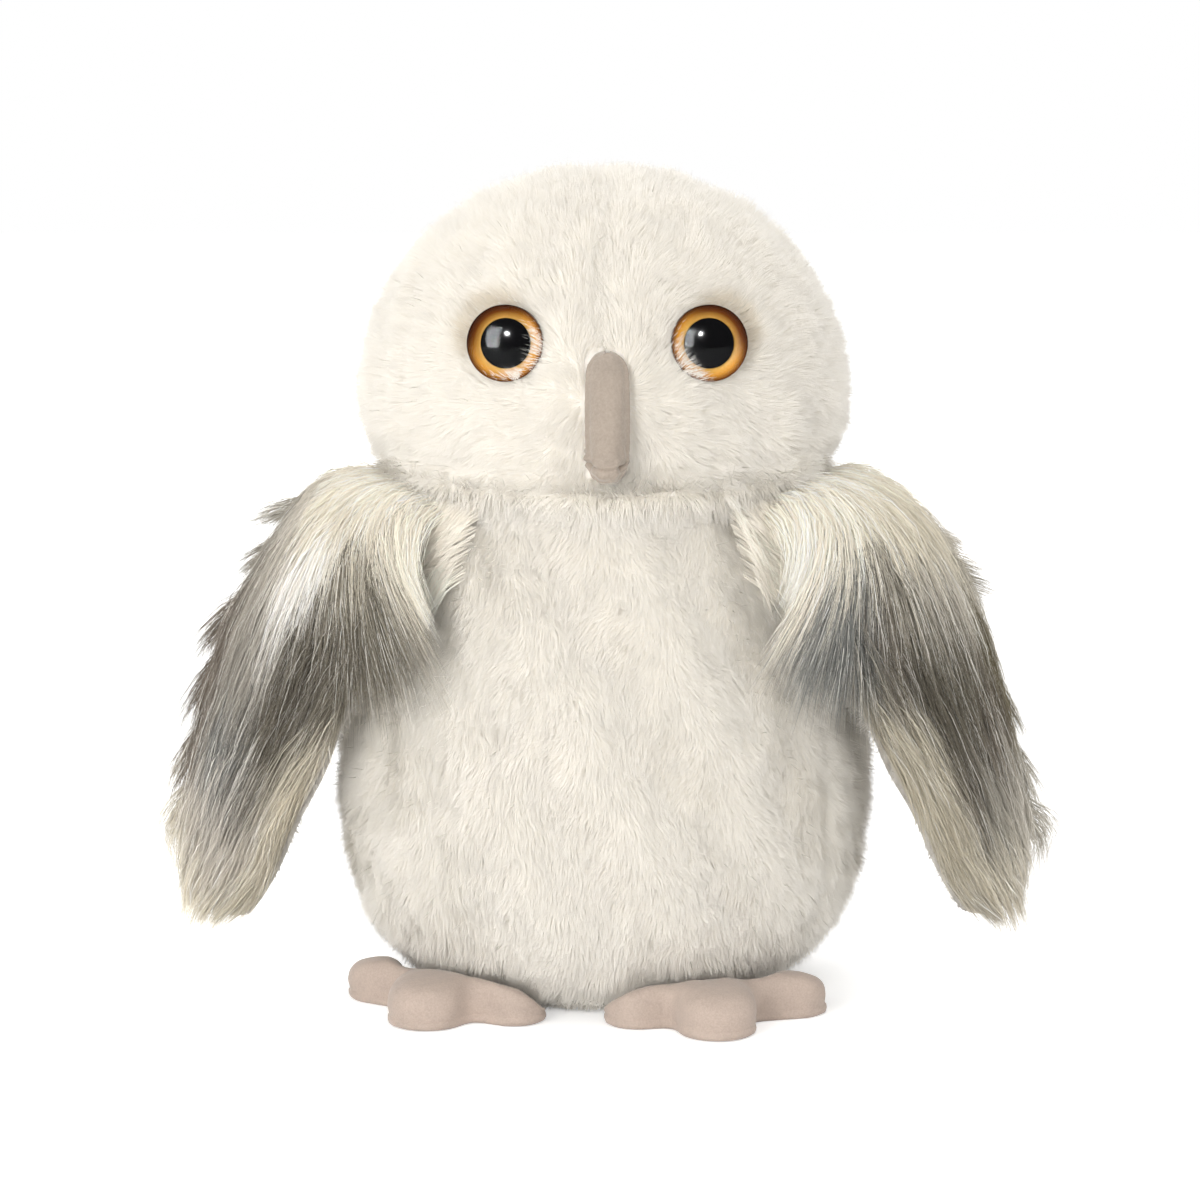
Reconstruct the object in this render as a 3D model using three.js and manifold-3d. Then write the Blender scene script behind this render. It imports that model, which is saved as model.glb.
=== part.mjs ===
// A plush owl, 20 cm tall, standing on a bean-weighted base: a round head and an egg-shaped body in short
// white pile, two long-pile wings sewn on at the shoulders, a suede beak, amber safety eyes and two stuffed
// suede feet. Each sewn panel, filling, pouch sheet, eye part and thread is a solid of its own.
// Millimetres, +Z up. The owl faces -Y, and its own left side is +X. The origin is on the floor, below the
// middle of the body.
import * as THREE from "three";
import { mergeVertices } from "three/addons/utils/BufferGeometryUtils.js";
import Module from "manifold-3d";

const wasm = await Module();
wasm.setup();

// Cloth and clearances
const SEAM_GAP = 0.3; // between two pieces that are sewn or seated together
const PLUSH = 3.6; // plush backing with the dense foot of its pile
const SUEDE = 1.2;
const CUT_OVERRUN = 2; // how far a cutting tool runs past what it cuts

// Body, an egg that is cut flat at the floor and at the neck
const BASE_HALF_WIDTH = 33;
const BASE_HALF_DEPTH = 27;
const BASE_THICKNESS = 3;
const BELLY_HALF_WIDTH = 66;
const BELLY_HALF_DEPTH = 53;
const BELLY_HEIGHT = 47;
const NECK_RADIUS = 43;
const NECK_HEIGHT = 128;
const BELLY_SEAM_BASE_TURN = 62; // degrees from the front, where the belly panel meets the back panels
const BELLY_SEAM_NECK_TURN = 48;

// Head, a wide dome over tucked-in cheeks
const CHEEK_RISE = 18; // above the neck
const CHEEK_HALF_WIDTH = 59.5;
const CHEEK_HALF_DEPTH = 50;
const DOME_RISE = 54; // above the cheeks
const DOME_POWER = 2.3; // 2 is a plain ellipse, more is squarer
const FACE_SEAM_TURN = 80; // degrees from the front, where face and back of head meet
const CROWN_HOLE_RADIUS = 1.4; // where the head's four panels meet
const FACE_SHIFT = 0.7; // eyes and beak are sewn on a little towards the owl's left

// Pouch of plastic pellets, lying on the base
const POUCH_HALF_WIDTH = 40;
const POUCH_HALF_DEPTH = 31;
const POUCH_THICKNESS = 24;
const POUCH_CLOTH = 0.8;
const POUCH_RIM = 2.5; // width of the rim in which its two sheets are sewn together

// Safety eyes
const EYE_SPACING = 47.6;
const EYE_RISE = 17.6; // above the cheeks
const EYE_TURN = 8; // degrees outwards from straight ahead
const EYE_TILT = 6; // degrees upwards
const EYE_RADIUS = 9;
const EYE_BULGE = 5.6;
const EYE_RIM = 1.6; // height of the lens's straight edge
const EYE_SEAT = 2; // how deep the eye sits in the pile
const EYE_CLOTH = 1; // cloth held between the eye and its washer
const IRIS_THICKNESS = 1;
const PUPIL_RADIUS = 5.9;
const PUPIL_THICKNESS = 0.5;
const POST_RADIUS = 2.4;
const POST_LENGTH = 12;
const WASHER_RADIUS = 7;
const WASHER_THICKNESS = 1.6;

// Beak, a stuffed suede strip that hooks forwards and down
const BEAK_TOP_RISE = 16; // above the cheeks
const BEAK_LENGTH = 30;
const BEAK_HALF_WIDTH = 5.2;
const BEAK_REACH = 10.5; // in front of the face's foremost point
const BEAK_SPLIT = 4; // height of the underside panel, from the beak's lowest point
const BEAK_SQUARENESS = 3; // of its section: 2 is a plain ellipse

// Wings, each a long-pile outer panel on a short-pile lining
const WING_ROOT_DROP = 5; // below the neck
const WING_ROOT_PLACE_TURN = 73; // degrees from the front, where the wing is sewn to the shoulder
const WING_ROOT_TURN = 21; // degrees that the root's line leans inwards from fore-and-aft
const WING_TIP_TURN = 50;
const WING_ROOT_CHORD = 44;
const WING_WIDEST_CHORD = 57;
const WING_TIP_CHORD = 18;
const WING_SHOULDER_REACH = 30; // how far the wing runs straight out before it bends down
const WING_SHOULDER_RISE = 3;
const WING_KNEE_OUT = 13; // out from the belly's widest line
const WING_KNEE_FORWARD = 26;
const WING_KNEE_HEIGHT = 66;
const WING_TIP_OUT = 32;
const WING_TIP_FORWARD = 8;
const WING_TIP_HEIGHT = 20;
const WING_BOW = 6; // how far the front and back edges curl in towards the body
const WING_ROOT_PILE = 1.6;
const WING_PILE = 7;
const WING_LINING = 2.2;
const WING_TAPE_WIDTH = 2; // of the root tape, from the body's side to the wing
const WIDEST_SHARE = 0.4; // of the way from root to tip, where the wing is widest
const EDGE_PILE_SHARE = 0.35; // of the pile's thickness, at the wing's edges
const TIP_PILE_SHARE = 0.45; // and at its tip

// Feet, three stuffed toes each
const FOOT_SPLAY = 23; // degrees that each foot turns outwards
const STANCE_TURN = 9; // degrees that the pair is sewn on to the owl's right
const FOOT_SIDE = 14; // from the owl's middle to the middle of the foot's rear edge, along that edge
const FOOT_CLEARANCE = 3.4; // between the body and the foot, bridged by the foot's tape
const FOOT_HEIGHT = 10.4;
const FOOT_REAR_HEIGHT = 3.4;
const FOOT_RAMP = 11; // length over which the foot rises to its full height
const FOOT_EDGE_ROUND = 2.4;
const FOOT_REAR_OVERHANG = 1; // how far the foot reaches behind its fold
const SOLE_THICKNESS = 2.2;
const SOLE_EDGE_ROUND = 0.8;
const PALM_RADIUS = 12.5;
const PALM_REACH = 3; // forward from the fold to the palm's middle
const INNER_TOE = { side: -17.4, reach: 2.8, radius: 7.3 };
const MIDDLE_TOE = { side: -0.5, reach: 16.2, radius: 9.3 };
const OUTER_TOE = { side: 23.5, reach: 2.8, radius: 7 };
const TOE_BLEND = 7; // the higher, the sharper the webs between the toes
const FOOT_TAPE_WIDTH = 18;
const FOOT_TAPE_THICKNESS = 2.2;

// Threads
const THREAD_RADIUS = 0.5;
const NECK_THREAD_OUTSET = 4.4; // from the neck's edge out into the crease
const CLOSING_BOTTOM = 24;
const CLOSING_HEIGHT = 48;
const CLOSING_HALF_WIDTH = 1.8;
const CLOSING_STITCHES = 8;

// Mesh fineness
const BODY_ROWS = 12;
const BELLY_COLUMNS = 10;
const BACK_COLUMNS = 8;
const BASE_COLUMNS = 36;
const HEAD_ROWS = 13;
const FACE_COLUMNS = 6;
const HEAD_BACK_COLUMNS = 7;
const POUCH_COLUMNS = 24;
const EYE_COLUMNS = 18;
const WING_ROWS = 11;
const WING_COLUMNS = 6;
const BEAK_COLUMNS = 10;
const FOOT_COLUMNS = 32;
const THREAD_SIDES = 6;
const NECK_THREAD_STEPS = 40;
const CLOSING_STEPS_PER_STITCH = 6;

const QUARTER = Math.PI / 2;
const FULL_TURN = 2 * Math.PI;
const { degToRad, lerp, clamp } = THREE.MathUtils;
const CHEEK_HEIGHT = NECK_HEIGHT + CHEEK_RISE;
const HEAD_TOP = CHEEK_HEIGHT + DOME_RISE;

const plain = (color, roughness) => new THREE.MeshStandardMaterial({ color, roughness, metalness: 0 });
const whitePile = plain(0xf4efe6, 0.95);
const frostedPile = plain(0x8f897b, 0.95);
const liningPile = plain(0xe6e1d4, 0.95);
const suede = plain(0xb9a594, 0.9);
const fibre = plain(0xf8f8f6, 1);
const pouchCloth = plain(0xd9d6cf, 0.9);
const pelletPlastic = plain(0xc9cdd0, 0.5);
const cottonTape = plain(0xe8e3d6, 0.9);
const thread = plain(0xefe9dc, 0.8);
const amberPlastic = plain(0xe0922f, 0.3);
const blackPlastic = plain(0x080808, 0.15);
const washerPlastic = plain(0xe9e9e6, 0.45);
const clearPlastic = plain(0xffffff, 0.05);
clearPlastic.transparent = true;
clearPlastic.opacity = 0.3;

function piece(parent, name, geometry, material) {
  const mesh = new THREE.Mesh(geometry, material);
  mesh.name = name;
  parent.add(mesh);
}

// Building closed surfaces

// Merged points, no empty faces, and all faces turned outwards.
function closedSurface(points, triangles) {
  const raw = new THREE.BufferGeometry().setFromPoints(points);
  raw.setIndex(triangles.flat());
  const merged = mergeVertices(raw, 1e-3);
  const corner = (i) => new THREE.Vector3().fromBufferAttribute(merged.attributes.position, i);
  const kept = [];
  let volume = 0;
  for (let i = 0; i < merged.index.count; i += 3) {
    const [a, b, c] = [0, 1, 2].map((k) => merged.index.getX(i + k));
    if (a === b || b === c || c === a) continue;
    kept.push([a, b, c]);
    volume += corner(a).dot(corner(b).cross(corner(c)));
  }
  merged.setIndex(kept.flatMap(([a, b, c]) => (volume < 0 ? [a, c, b] : [a, b, c])));
  return merged;
}

// A panel between an outer and an inner face, each a function of u and v from 0 to 1.
function panelBetween(outer, inner, columns, rows) {
  const points = [];
  for (const face of [outer, inner])
    for (let j = 0; j <= rows; j++)
      for (let i = 0; i <= columns; i++) points.push(face(i / columns, j / rows));
  const at = (face, i, j) => (face * (rows + 1) + j) * (columns + 1) + i;
  const triangles = [];
  const quad = (a, b, c, d) => triangles.push([a, b, c], [a, c, d]);
  for (let j = 0; j < rows; j++)
    for (let i = 0; i < columns; i++) {
      quad(at(0, i, j), at(0, i + 1, j), at(0, i + 1, j + 1), at(0, i, j + 1));
      quad(at(1, i, j), at(1, i, j + 1), at(1, i + 1, j + 1), at(1, i + 1, j));
    }
  for (let i = 0; i < columns; i++) {
    quad(at(0, i, 0), at(1, i, 0), at(1, i + 1, 0), at(0, i + 1, 0));
    quad(at(0, i, rows), at(0, i + 1, rows), at(1, i + 1, rows), at(1, i, rows));
  }
  for (let j = 0; j < rows; j++) {
    quad(at(0, 0, j), at(0, 0, j + 1), at(1, 0, j + 1), at(1, 0, j));
    quad(at(0, columns, j), at(1, columns, j), at(1, columns, j + 1), at(0, columns, j + 1));
  }
  return closedSurface(points, triangles);
}

// A solid through a stack of closed rings of points, with a fan over each end.
function solidThrough(rings) {
  const count = rings[0].length;
  const points = rings.flat();
  const triangles = [];
  for (let j = 0; j + 1 < rings.length; j++)
    for (let i = 0; i < count; i++) {
      const a = j * count + i;
      const b = j * count + ((i + 1) % count);
      triangles.push([a, b, b + count], [a, b + count, a + count]);
    }
  const cap = (ring, first, turned) => {
    points.push(ring.reduce((sum, point) => sum.add(point), new THREE.Vector3()).divideScalar(count));
    for (let i = 0; i < count; i++) {
      const edge = [first + i, first + ((i + 1) % count)];
      triangles.push([...(turned ? edge.reverse() : edge), points.length - 1]);
    }
  };
  cap(rings[0], 0, true);
  cap(rings.at(-1), (rings.length - 1) * count, false);
  return closedSurface(points, triangles);
}

// A round solid about Z from a profile of [radius, height] pairs.
function turned(profile, columns) {
  const lathe = new THREE.LatheGeometry(
    profile.map(([radius, height]) => new THREE.Vector2(radius, height)),
    columns,
  );
  lathe.rotateX(QUARTER);
  const place = lathe.attributes.position;
  const pointAt = (_, i) => new THREE.Vector3().fromBufferAttribute(place, i);
  const points = Array.from({ length: place.count }, pointAt);
  const index = Array.from(lathe.index.array);
  const triangles = Array.from({ length: index.length / 3 }, (_, i) => index.slice(3 * i, 3 * i + 3));
  return closedSurface(points, triangles);
}

const disc = (radius, bottom, top) =>
  turned([[0, bottom], [radius, bottom], [radius, top], [0, top]], EYE_COLUMNS);

function solidOf(geometry) {
  const bare = geometry.clone();
  bare.deleteAttribute("normal");
  bare.deleteAttribute("uv");
  const merged = mergeVertices(bare);
  return new wasm.Manifold(
    new wasm.Mesh({
      numProp: 3,
      vertProperties: new Float32Array(merged.attributes.position.array),
      triVerts: new Uint32Array(merged.index.array),
    }),
  );
}

// What is left of a geometry once the cutters are taken away.
function cutAway(geometry, cutters) {
  const left = cutters.reduce((solid, cutter) => solid.subtract(solidOf(cutter)), solidOf(geometry));
  const mesh = left.getMesh();
  const cut = new THREE.BufferGeometry();
  cut.setAttribute("position", new THREE.BufferAttribute(new Float32Array(mesh.vertProperties), 3));
  cut.setIndex(new THREE.BufferAttribute(new Uint32Array(mesh.triVerts), 1));
  return cut;
}

// The forms of body and head. Turns are angles from the front towards the owl's left, in radians. A form's
// reach is its half width and half depth at a height, at an inset from its outer face.

const around = (turn, [width, depth], height) =>
  new THREE.Vector3(Math.sin(turn) * width, -Math.cos(turn) * depth, height);
const roundedShare = (share) => Math.sqrt(1 - clamp(share, 0, 1) ** 2);

const bellySeam = (height) =>
  degToRad(lerp(BELLY_SEAM_BASE_TURN, BELLY_SEAM_NECK_TURN, clamp(height / NECK_HEIGHT, 0, 1)));
const body = {
  bottom: BASE_THICKNESS + SEAM_GAP,
  top: () => NECK_HEIGHT - SEAM_GAP / 2,
  rows: BODY_ROWS,
  columns: [BACK_COLUMNS, BELLY_COLUMNS, BACK_COLUMNS],
  seams: (height) => [-Math.PI, -bellySeam(height), bellySeam(height), Math.PI],
  reach: (height, inset) => {
    const low = height < BELLY_HEIGHT;
    const ends = low ? [BASE_HALF_WIDTH, BASE_HALF_DEPTH] : [NECK_RADIUS, NECK_RADIUS];
    const span = low ? BELLY_HEIGHT : NECK_HEIGHT - BELLY_HEIGHT;
    const share = roundedShare(Math.abs(height - BELLY_HEIGHT) / span);
    return [BELLY_HALF_WIDTH, BELLY_HALF_DEPTH].map((belly, i) => lerp(ends[i], belly, share) - inset);
  },
};

const faceSeam = degToRad(FACE_SEAM_TURN);
const head = {
  bottom: NECK_HEIGHT + SEAM_GAP / 2,
  top: (inset) => HEAD_TOP - inset,
  rows: HEAD_ROWS,
  columns: [HEAD_BACK_COLUMNS, FACE_COLUMNS, FACE_COLUMNS, HEAD_BACK_COLUMNS],
  seams: () => [-Math.PI, -faceSeam, 0, faceSeam, Math.PI],
  reach: (height, inset) => {
    const cheeks = [CHEEK_HALF_WIDTH, CHEEK_HALF_DEPTH];
    if (height < CHEEK_HEIGHT) {
      const share = roundedShare((CHEEK_HEIGHT - height) / CHEEK_RISE);
      return cheeks.map((cheek) => lerp(NECK_RADIUS, cheek, share) - inset);
    }
    const rise = clamp((height - CHEEK_HEIGHT) / (DOME_RISE - inset), 0, 1);
    const share = (1 - rise ** DOME_POWER) ** (1 / DOME_POWER);
    return cheeks.map((cheek) => Math.max((cheek - inset) * share, CROWN_HOLE_RADIUS));
  },
};

// Heights lie closer together at both ends of a form, where its outline curves most.
const heightAt = (form, share, inset) =>
  lerp(form.bottom, form.top(inset), (1 - Math.cos(share * Math.PI)) / 2);
const surfacePoint = (form, turn, height, inset = 0) => around(turn, form.reach(height, inset), height);

// The panel between a form's seam of this number and the next one.
function sewnPanel(form, number) {
  const face = (inset) => (u, v) => {
    const height = heightAt(form, v, inset);
    const halfGap = SEAM_GAP / 2 / Math.min(...form.reach(height, inset));
    const [from, to] = form.seams(height).slice(number, number + 2);
    return surfacePoint(form, lerp(from + halfGap, to - halfGap, u), height, inset);
  };
  return panelBetween(face(0), face(PLUSH), form.columns[number], form.rows);
}

// The whole form at an inset, as one solid; a negative inset grows it.
function wholeForm(form, inset) {
  const rings = [];
  for (let j = 0; j <= form.rows; j++) {
    const height = heightAt(form, j / form.rows, inset);
    const seams = form.seams(height);
    const turns = form.columns.flatMap((columns, number) =>
      Array.from({ length: columns }, (_, i) => lerp(seams[number], seams[number + 1], i / columns)),
    );
    rings.push(turns.map((turn) => surfacePoint(form, turn, height, inset)));
  }
  return solidThrough(rings);
}

// Pellet pouch: two round sheets, sewn together in a rim, and the pellets

const PILLOW_SHARES = [0.98, 0.88, 0.62, 0.14]; // of the half thickness, from the pole to the rim
const POUCH_FLATNESS = POUCH_HALF_DEPTH / POUCH_HALF_WIDTH;
const pouchMiddle = body.bottom + (PILLOW_SHARES[0] * POUCH_THICKNESS) / 2;
const pillowOutline = (grow) =>
  PILLOW_SHARES.map((share) => [
    (POUCH_HALF_WIDTH + grow) * roundedShare(share),
    (POUCH_THICKNESS / 2 + grow) * share,
  ]);

function inPouch(profile) {
  const geometry = turned(profile, POUCH_COLUMNS);
  return geometry.scale(1, POUCH_FLATNESS, 1).translate(0, 0, pouchMiddle);
}

function pillow(grow) {
  const upper = pillowOutline(grow);
  const lower = upper.map(([reach, rise]) => [reach, -rise]).reverse();
  return inPouch([[0, upper[0][1]], ...upper, ...lower, [0, -upper[0][1]]]);
}

// One sheet of the pouch: side is 1 for the top and -1 for the bottom.
function pouchSheet(side) {
  const outer = pillowOutline(0);
  const inner = pillowOutline(-POUCH_CLOTH).reverse();
  const rimReach = POUCH_HALF_WIDTH + POUCH_RIM;
  const profile = [
    [0, outer[0][1]],
    ...outer,
    [POUCH_HALF_WIDTH, SEAM_GAP / 2 + POUCH_CLOTH],
    [rimReach, SEAM_GAP / 2 + POUCH_CLOTH],
    [rimReach, SEAM_GAP / 2],
    [inner[0][0], SEAM_GAP / 2],
    ...inner,
    [0, inner.at(-1)[1]],
  ];
  return inPouch(profile.map(([reach, rise]) => [reach, side * rise]));
}

function pouchRimSpace() {
  const reach = POUCH_HALF_WIDTH + POUCH_RIM + SEAM_GAP;
  const rise = POUCH_CLOTH + 2 * SEAM_GAP;
  return inPouch([[0, rise], [reach, rise], [reach, -rise], [0, -rise]]);
}

const BASE_HEIGHTS = [0, BASE_THICKNESS / 2, BASE_THICKNESS];
const baseRing = (height, inset) =>
  Array.from({ length: BASE_COLUMNS }, (_, i) =>
    surfacePoint(body, (i / BASE_COLUMNS) * FULL_TURN, height, inset),
  );

function makeBody(parent) {
  piece(parent, "back_panel_right", sewnPanel(body, 0), whitePile);
  piece(parent, "belly_panel", sewnPanel(body, 1), whitePile);
  piece(parent, "back_panel_left", sewnPanel(body, 2), whitePile);
  const baseRings = BASE_HEIGHTS.map((height) => baseRing(height, 0));
  piece(parent, "base_panel", solidThrough(baseRings), whitePile);
  const filling = cutAway(wholeForm(body, PLUSH + SEAM_GAP), [pillow(SEAM_GAP), pouchRimSpace()]);
  piece(parent, "body_stuffing", filling, fibre);
  piece(parent, "pouch_top_sheet", pouchSheet(1), pouchCloth);
  piece(parent, "pouch_bottom_sheet", pouchSheet(-1), pouchCloth);
  piece(parent, "pellet_fill", pillow(-POUCH_CLOTH - SEAM_GAP), pelletPlastic);
}

// Safety eyes. In an eye's own frame the cloth's outer face is at height 0 and the eye looks along +Z.

const irisBottom = SEAM_GAP;
const pupilBottom = irisBottom + IRIS_THICKNESS + SEAM_GAP;
const lensBottom = pupilBottom;
const pupilRoof = pupilBottom + PUPIL_THICKNESS + SEAM_GAP;
const washerTop = -EYE_CLOTH - SEAM_GAP;
const washerBottom = washerTop - WASHER_THICKNESS;
const postBottom = -POST_LENGTH;

function lensGeometry() {
  const rimTop = lensBottom + EYE_RIM;
  const domeShares = [0, 0.25, 0.5, 0.75, 1];
  const dome = domeShares.map((share) => [
    EYE_RADIUS * Math.cos(share * QUARTER),
    rimTop + EYE_BULGE * Math.sin(share * QUARTER),
  ]);
  dome.at(-1)[0] = 0;
  const recess = PUPIL_RADIUS + SEAM_GAP;
  return turned(
    [[0, pupilRoof], [recess, pupilRoof], [recess, lensBottom], [EYE_RADIUS, lensBottom], ...dome],
    EYE_COLUMNS,
  );
}

function irisGeometry() {
  const top = irisBottom + IRIS_THICKNESS;
  return turned(
    [[0, postBottom], [POST_RADIUS, postBottom], [POST_RADIUS, irisBottom], [EYE_RADIUS, irisBottom],
      [EYE_RADIUS, top], [0, top]],
    EYE_COLUMNS,
  );
}

function washerGeometry() {
  const bore = POST_RADIUS + SEAM_GAP;
  return turned(
    [[bore, washerBottom], [WASHER_RADIUS, washerBottom], [WASHER_RADIUS, washerTop], [bore, washerTop],
      [bore, washerBottom]],
    EYE_COLUMNS,
  );
}

function eyeFrame(side) {
  const height = CHEEK_HEIGHT + EYE_RISE;
  const turn = Math.asin((side * EYE_SPACING) / 2 / head.reach(height, 0)[0]);
  const [aim, tilt] = [side * degToRad(EYE_TURN), degToRad(EYE_TILT)];
  const axis = new THREE.Vector3(
    Math.sin(aim) * Math.cos(tilt),
    -Math.cos(aim) * Math.cos(tilt),
    Math.sin(tilt),
  );
  const frame = new THREE.Group();
  frame.position.copy(surfacePoint(head, turn, height)).addScaledVector(axis, -EYE_SEAT);
  frame.position.x += FACE_SHIFT;
  frame.quaternion.setFromUnitVectors(new THREE.Vector3(0, 0, 1), axis);
  frame.updateMatrix();
  return frame;
}

// What the eye takes out of the face: the seat of the eye, the hole for its post, the seat of its washer.
function eyeCutters(frame) {
  const hole = POST_RADIUS + SEAM_GAP;
  const seat = disc(EYE_RADIUS + SEAM_GAP, 0, EYE_SEAT + EYE_RADIUS);
  const postHole = disc(hole, postBottom - SEAM_GAP, EYE_SEAT);
  const washerSeat = disc(WASHER_RADIUS + SEAM_GAP, washerBottom - SEAM_GAP, washerTop + SEAM_GAP);
  return [seat, postHole, washerSeat].map((geometry) => geometry.applyMatrix4(frame.matrix));
}

function makeEye(parent, side, name) {
  const frame = eyeFrame(side);
  parent.add(frame);
  const pupil = disc(PUPIL_RADIUS, pupilBottom, pupilBottom + PUPIL_THICKNESS);
  piece(frame, `eye_${name}_lens`, lensGeometry(), clearPlastic);
  piece(frame, `eye_${name}_pupil`, pupil, blackPlastic);
  piece(frame, `eye_${name}_iris`, irisGeometry(), amberPlastic);
  piece(frame, `eye_${name}_washer`, washerGeometry(), washerPlastic);
}

function makeHead(parent) {
  const leftEye = eyeCutters(eyeFrame(1));
  const rightEye = eyeCutters(eyeFrame(-1));
  piece(parent, "head_back_panel_right", sewnPanel(head, 0), whitePile);
  piece(parent, "face_panel_right", cutAway(sewnPanel(head, 1), rightEye), whitePile);
  piece(parent, "face_panel_left", cutAway(sewnPanel(head, 2), leftEye), whitePile);
  piece(parent, "head_back_panel_left", sewnPanel(head, 3), whitePile);
  const filling = cutAway(wholeForm(head, PLUSH + SEAM_GAP), [...leftEye, ...rightEye]);
  piece(parent, "head_stuffing", filling, fibre);
}

// Beak. Its rings run from the top to the lowest point; each has a share of the beak's length down from the
// top, a share of its reach forwards, and a share of its half width.
const BEAK_RING_SHARES = [
  [0, 0, 0.55],
  [0.06, 0.2, 0.84],
  [0.15, 0.4, 0.98],
  [0.35, 0.62, 1],
  [0.56, 0.8, 1],
  [0.74, 0.93, 0.97],
  [0.86, 1, 0.88],
  [0.93, 0.98, 0.72],
  [0.98, 0.78, 0.55],
  [1, 0.5, 0.42],
];

const beakTop = CHEEK_HEIGHT + BEAK_TOP_RISE;

function beakSolid(inset) {
  const back = -(NECK_RADIUS - inset);
  const rings = BEAK_RING_SHARES.map(([fallShare, reachShare, widthShare]) => {
    const height = beakTop - inset - fallShare * (BEAK_LENGTH - 2 * inset);
    const front = -(CHEEK_HALF_DEPTH + reachShare * BEAK_REACH - inset);
    const halfWidth = widthShare * BEAK_HALF_WIDTH - inset;
    const squared = (value) => Math.sign(value) * Math.abs(value) ** (2 / BEAK_SQUARENESS);
    return Array.from({ length: BEAK_COLUMNS + 1 }, (_, i) => {
      const angle = (i / BEAK_COLUMNS) * Math.PI - QUARTER;
      return new THREE.Vector3(
        FACE_SHIFT + halfWidth * squared(Math.sin(angle)),
        lerp(back, front, squared(Math.max(Math.cos(angle), 0))),
        height,
      );
    });
  });
  return solidThrough(rings);
}

function makeBeak(parent) {
  const face = wholeForm(head, -SEAM_GAP);
  const shell = cutAway(beakSolid(0), [beakSolid(SUEDE), face]);
  const split = beakTop - BEAK_LENGTH + BEAK_SPLIT;
  const reach = CHEEK_HALF_DEPTH + BEAK_REACH;
  const slab = (bottom, top) =>
    new THREE.BoxGeometry(reach, 2 * reach, top - bottom).translate(0, -reach, (bottom + top) / 2);
  const below = slab(split - BEAK_LENGTH, split + SEAM_GAP / 2);
  const above = slab(split - SEAM_GAP / 2, split + BEAK_LENGTH);
  piece(parent, "beak_front_panel", cutAway(shell, [below]), suede);
  piece(parent, "beak_under_panel", cutAway(shell, [above]), suede);
  piece(parent, "beak_stuffing", cutAway(beakSolid(SUEDE + SEAM_GAP), [face]), fibre);
}

// Wings. Each is a sheet swept along a curve over the shoulder: u runs across it from the front edge to the
// back edge, and v from its root to its tip.

function wingRoot(side) {
  const height = NECK_HEIGHT - WING_ROOT_DROP;
  const turn = side * degToRad(WING_ROOT_PLACE_TURN);
  const lean = degToRad(WING_ROOT_TURN);
  const outwards = new THREE.Vector3(side * Math.cos(lean), -Math.sin(lean), 0);
  const middle = surfacePoint(body, turn, height).addScaledVector(outwards, WING_TAPE_WIDTH);
  return { middle, outwards };
}

function wingCurve(side) {
  const { middle, outwards } = wingRoot(side);
  const crest = middle.clone().addScaledVector(outwards, WING_SHOULDER_REACH);
  crest.z += WING_SHOULDER_RISE;
  const kneeSide = side * (BELLY_HALF_WIDTH + WING_KNEE_OUT);
  const tipSide = side * (BELLY_HALF_WIDTH + WING_TIP_OUT);
  const knee = new THREE.Vector3(kneeSide, -WING_KNEE_FORWARD, WING_KNEE_HEIGHT);
  const tip = new THREE.Vector3(tipSide, -WING_TIP_FORWARD, WING_TIP_HEIGHT);
  return new THREE.CubicBezierCurve3(middle, crest, knee, tip);
}

// The wing's place and directions at a share of its length: across it towards the front, and out of it.
function wingStation(curve, side, v) {
  const along = curve.getTangent(v);
  const lean = degToRad(lerp(WING_ROOT_TURN, WING_TIP_TURN, v));
  const across = new THREE.Vector3(-side * Math.sin(lean), -Math.cos(lean), 0);
  across.addScaledVector(along, -across.dot(along)).normalize();
  const out = across.clone().cross(along).multiplyScalar(side).normalize();
  return { middle: curve.getPoint(v), along, across, out };
}

const smooth = (value) => value * value * (3 - 2 * value);

function wingChord(v) {
  if (v < WIDEST_SHARE) return lerp(WING_ROOT_CHORD, WING_WIDEST_CHORD, smooth(v / WIDEST_SHARE));
  const past = (v - WIDEST_SHARE) / (1 - WIDEST_SHARE);
  return lerp(WING_TIP_CHORD, WING_WIDEST_CHORD, roundedShare(past));
}

function wingPile(u, v) {
  const crossShare = lerp(1, EDGE_PILE_SHARE, (2 * u - 1) ** 4);
  const grown = lerp(WING_ROOT_PILE, WING_PILE, smooth(clamp(v / WIDEST_SHARE, 0, 1)));
  const past = clamp((v - WIDEST_SHARE) / (1 - WIDEST_SHARE), 0, 1);
  return grown * crossShare * lerp(1, TIP_PILE_SHARE, past);
}

// A point of the wing at a height above its seam plane.
function wingPoint(curve, side, u, v, height) {
  const { middle, across, out } = wingStation(curve, side, v);
  const bow = WING_BOW * smooth(clamp(v / WIDEST_SHARE, 0, 1)) * (2 * u - 1) ** 2;
  const forwardShare = (1 - 2 * u) / 2;
  return middle.addScaledVector(across, forwardShare * wingChord(v)).addScaledVector(out, height - bow);
}

// The strip that the wing hangs on, from the body's side to just short of the wing. It is drawn from inside
// the body, and what the body covers is cut away.
function rootTape(side) {
  const { middle, along, across, out } = wingStation(wingCurve(side), side, 0);
  const [low, high] = [-SEAM_GAP / 2 - WING_LINING, SEAM_GAP / 2 + WING_ROOT_PILE];
  const [back, front] = [-WING_ROOT_CHORD / 2, WING_ROOT_CHORD / 2];
  const corners = [[back, low], [front, low], [front, high], [back, high]];
  const section = (reach) => {
    const start = middle.clone().addScaledVector(along, reach);
    return corners.map(([sideways, height]) =>
      start.clone().addScaledVector(across, sideways).addScaledVector(out, height),
    );
  };
  const strip = solidThrough([section(-NECK_RADIUS / 2), section(-SEAM_GAP)]);
  return cutAway(strip, [wholeForm(body, -SEAM_GAP)]);
}

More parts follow.
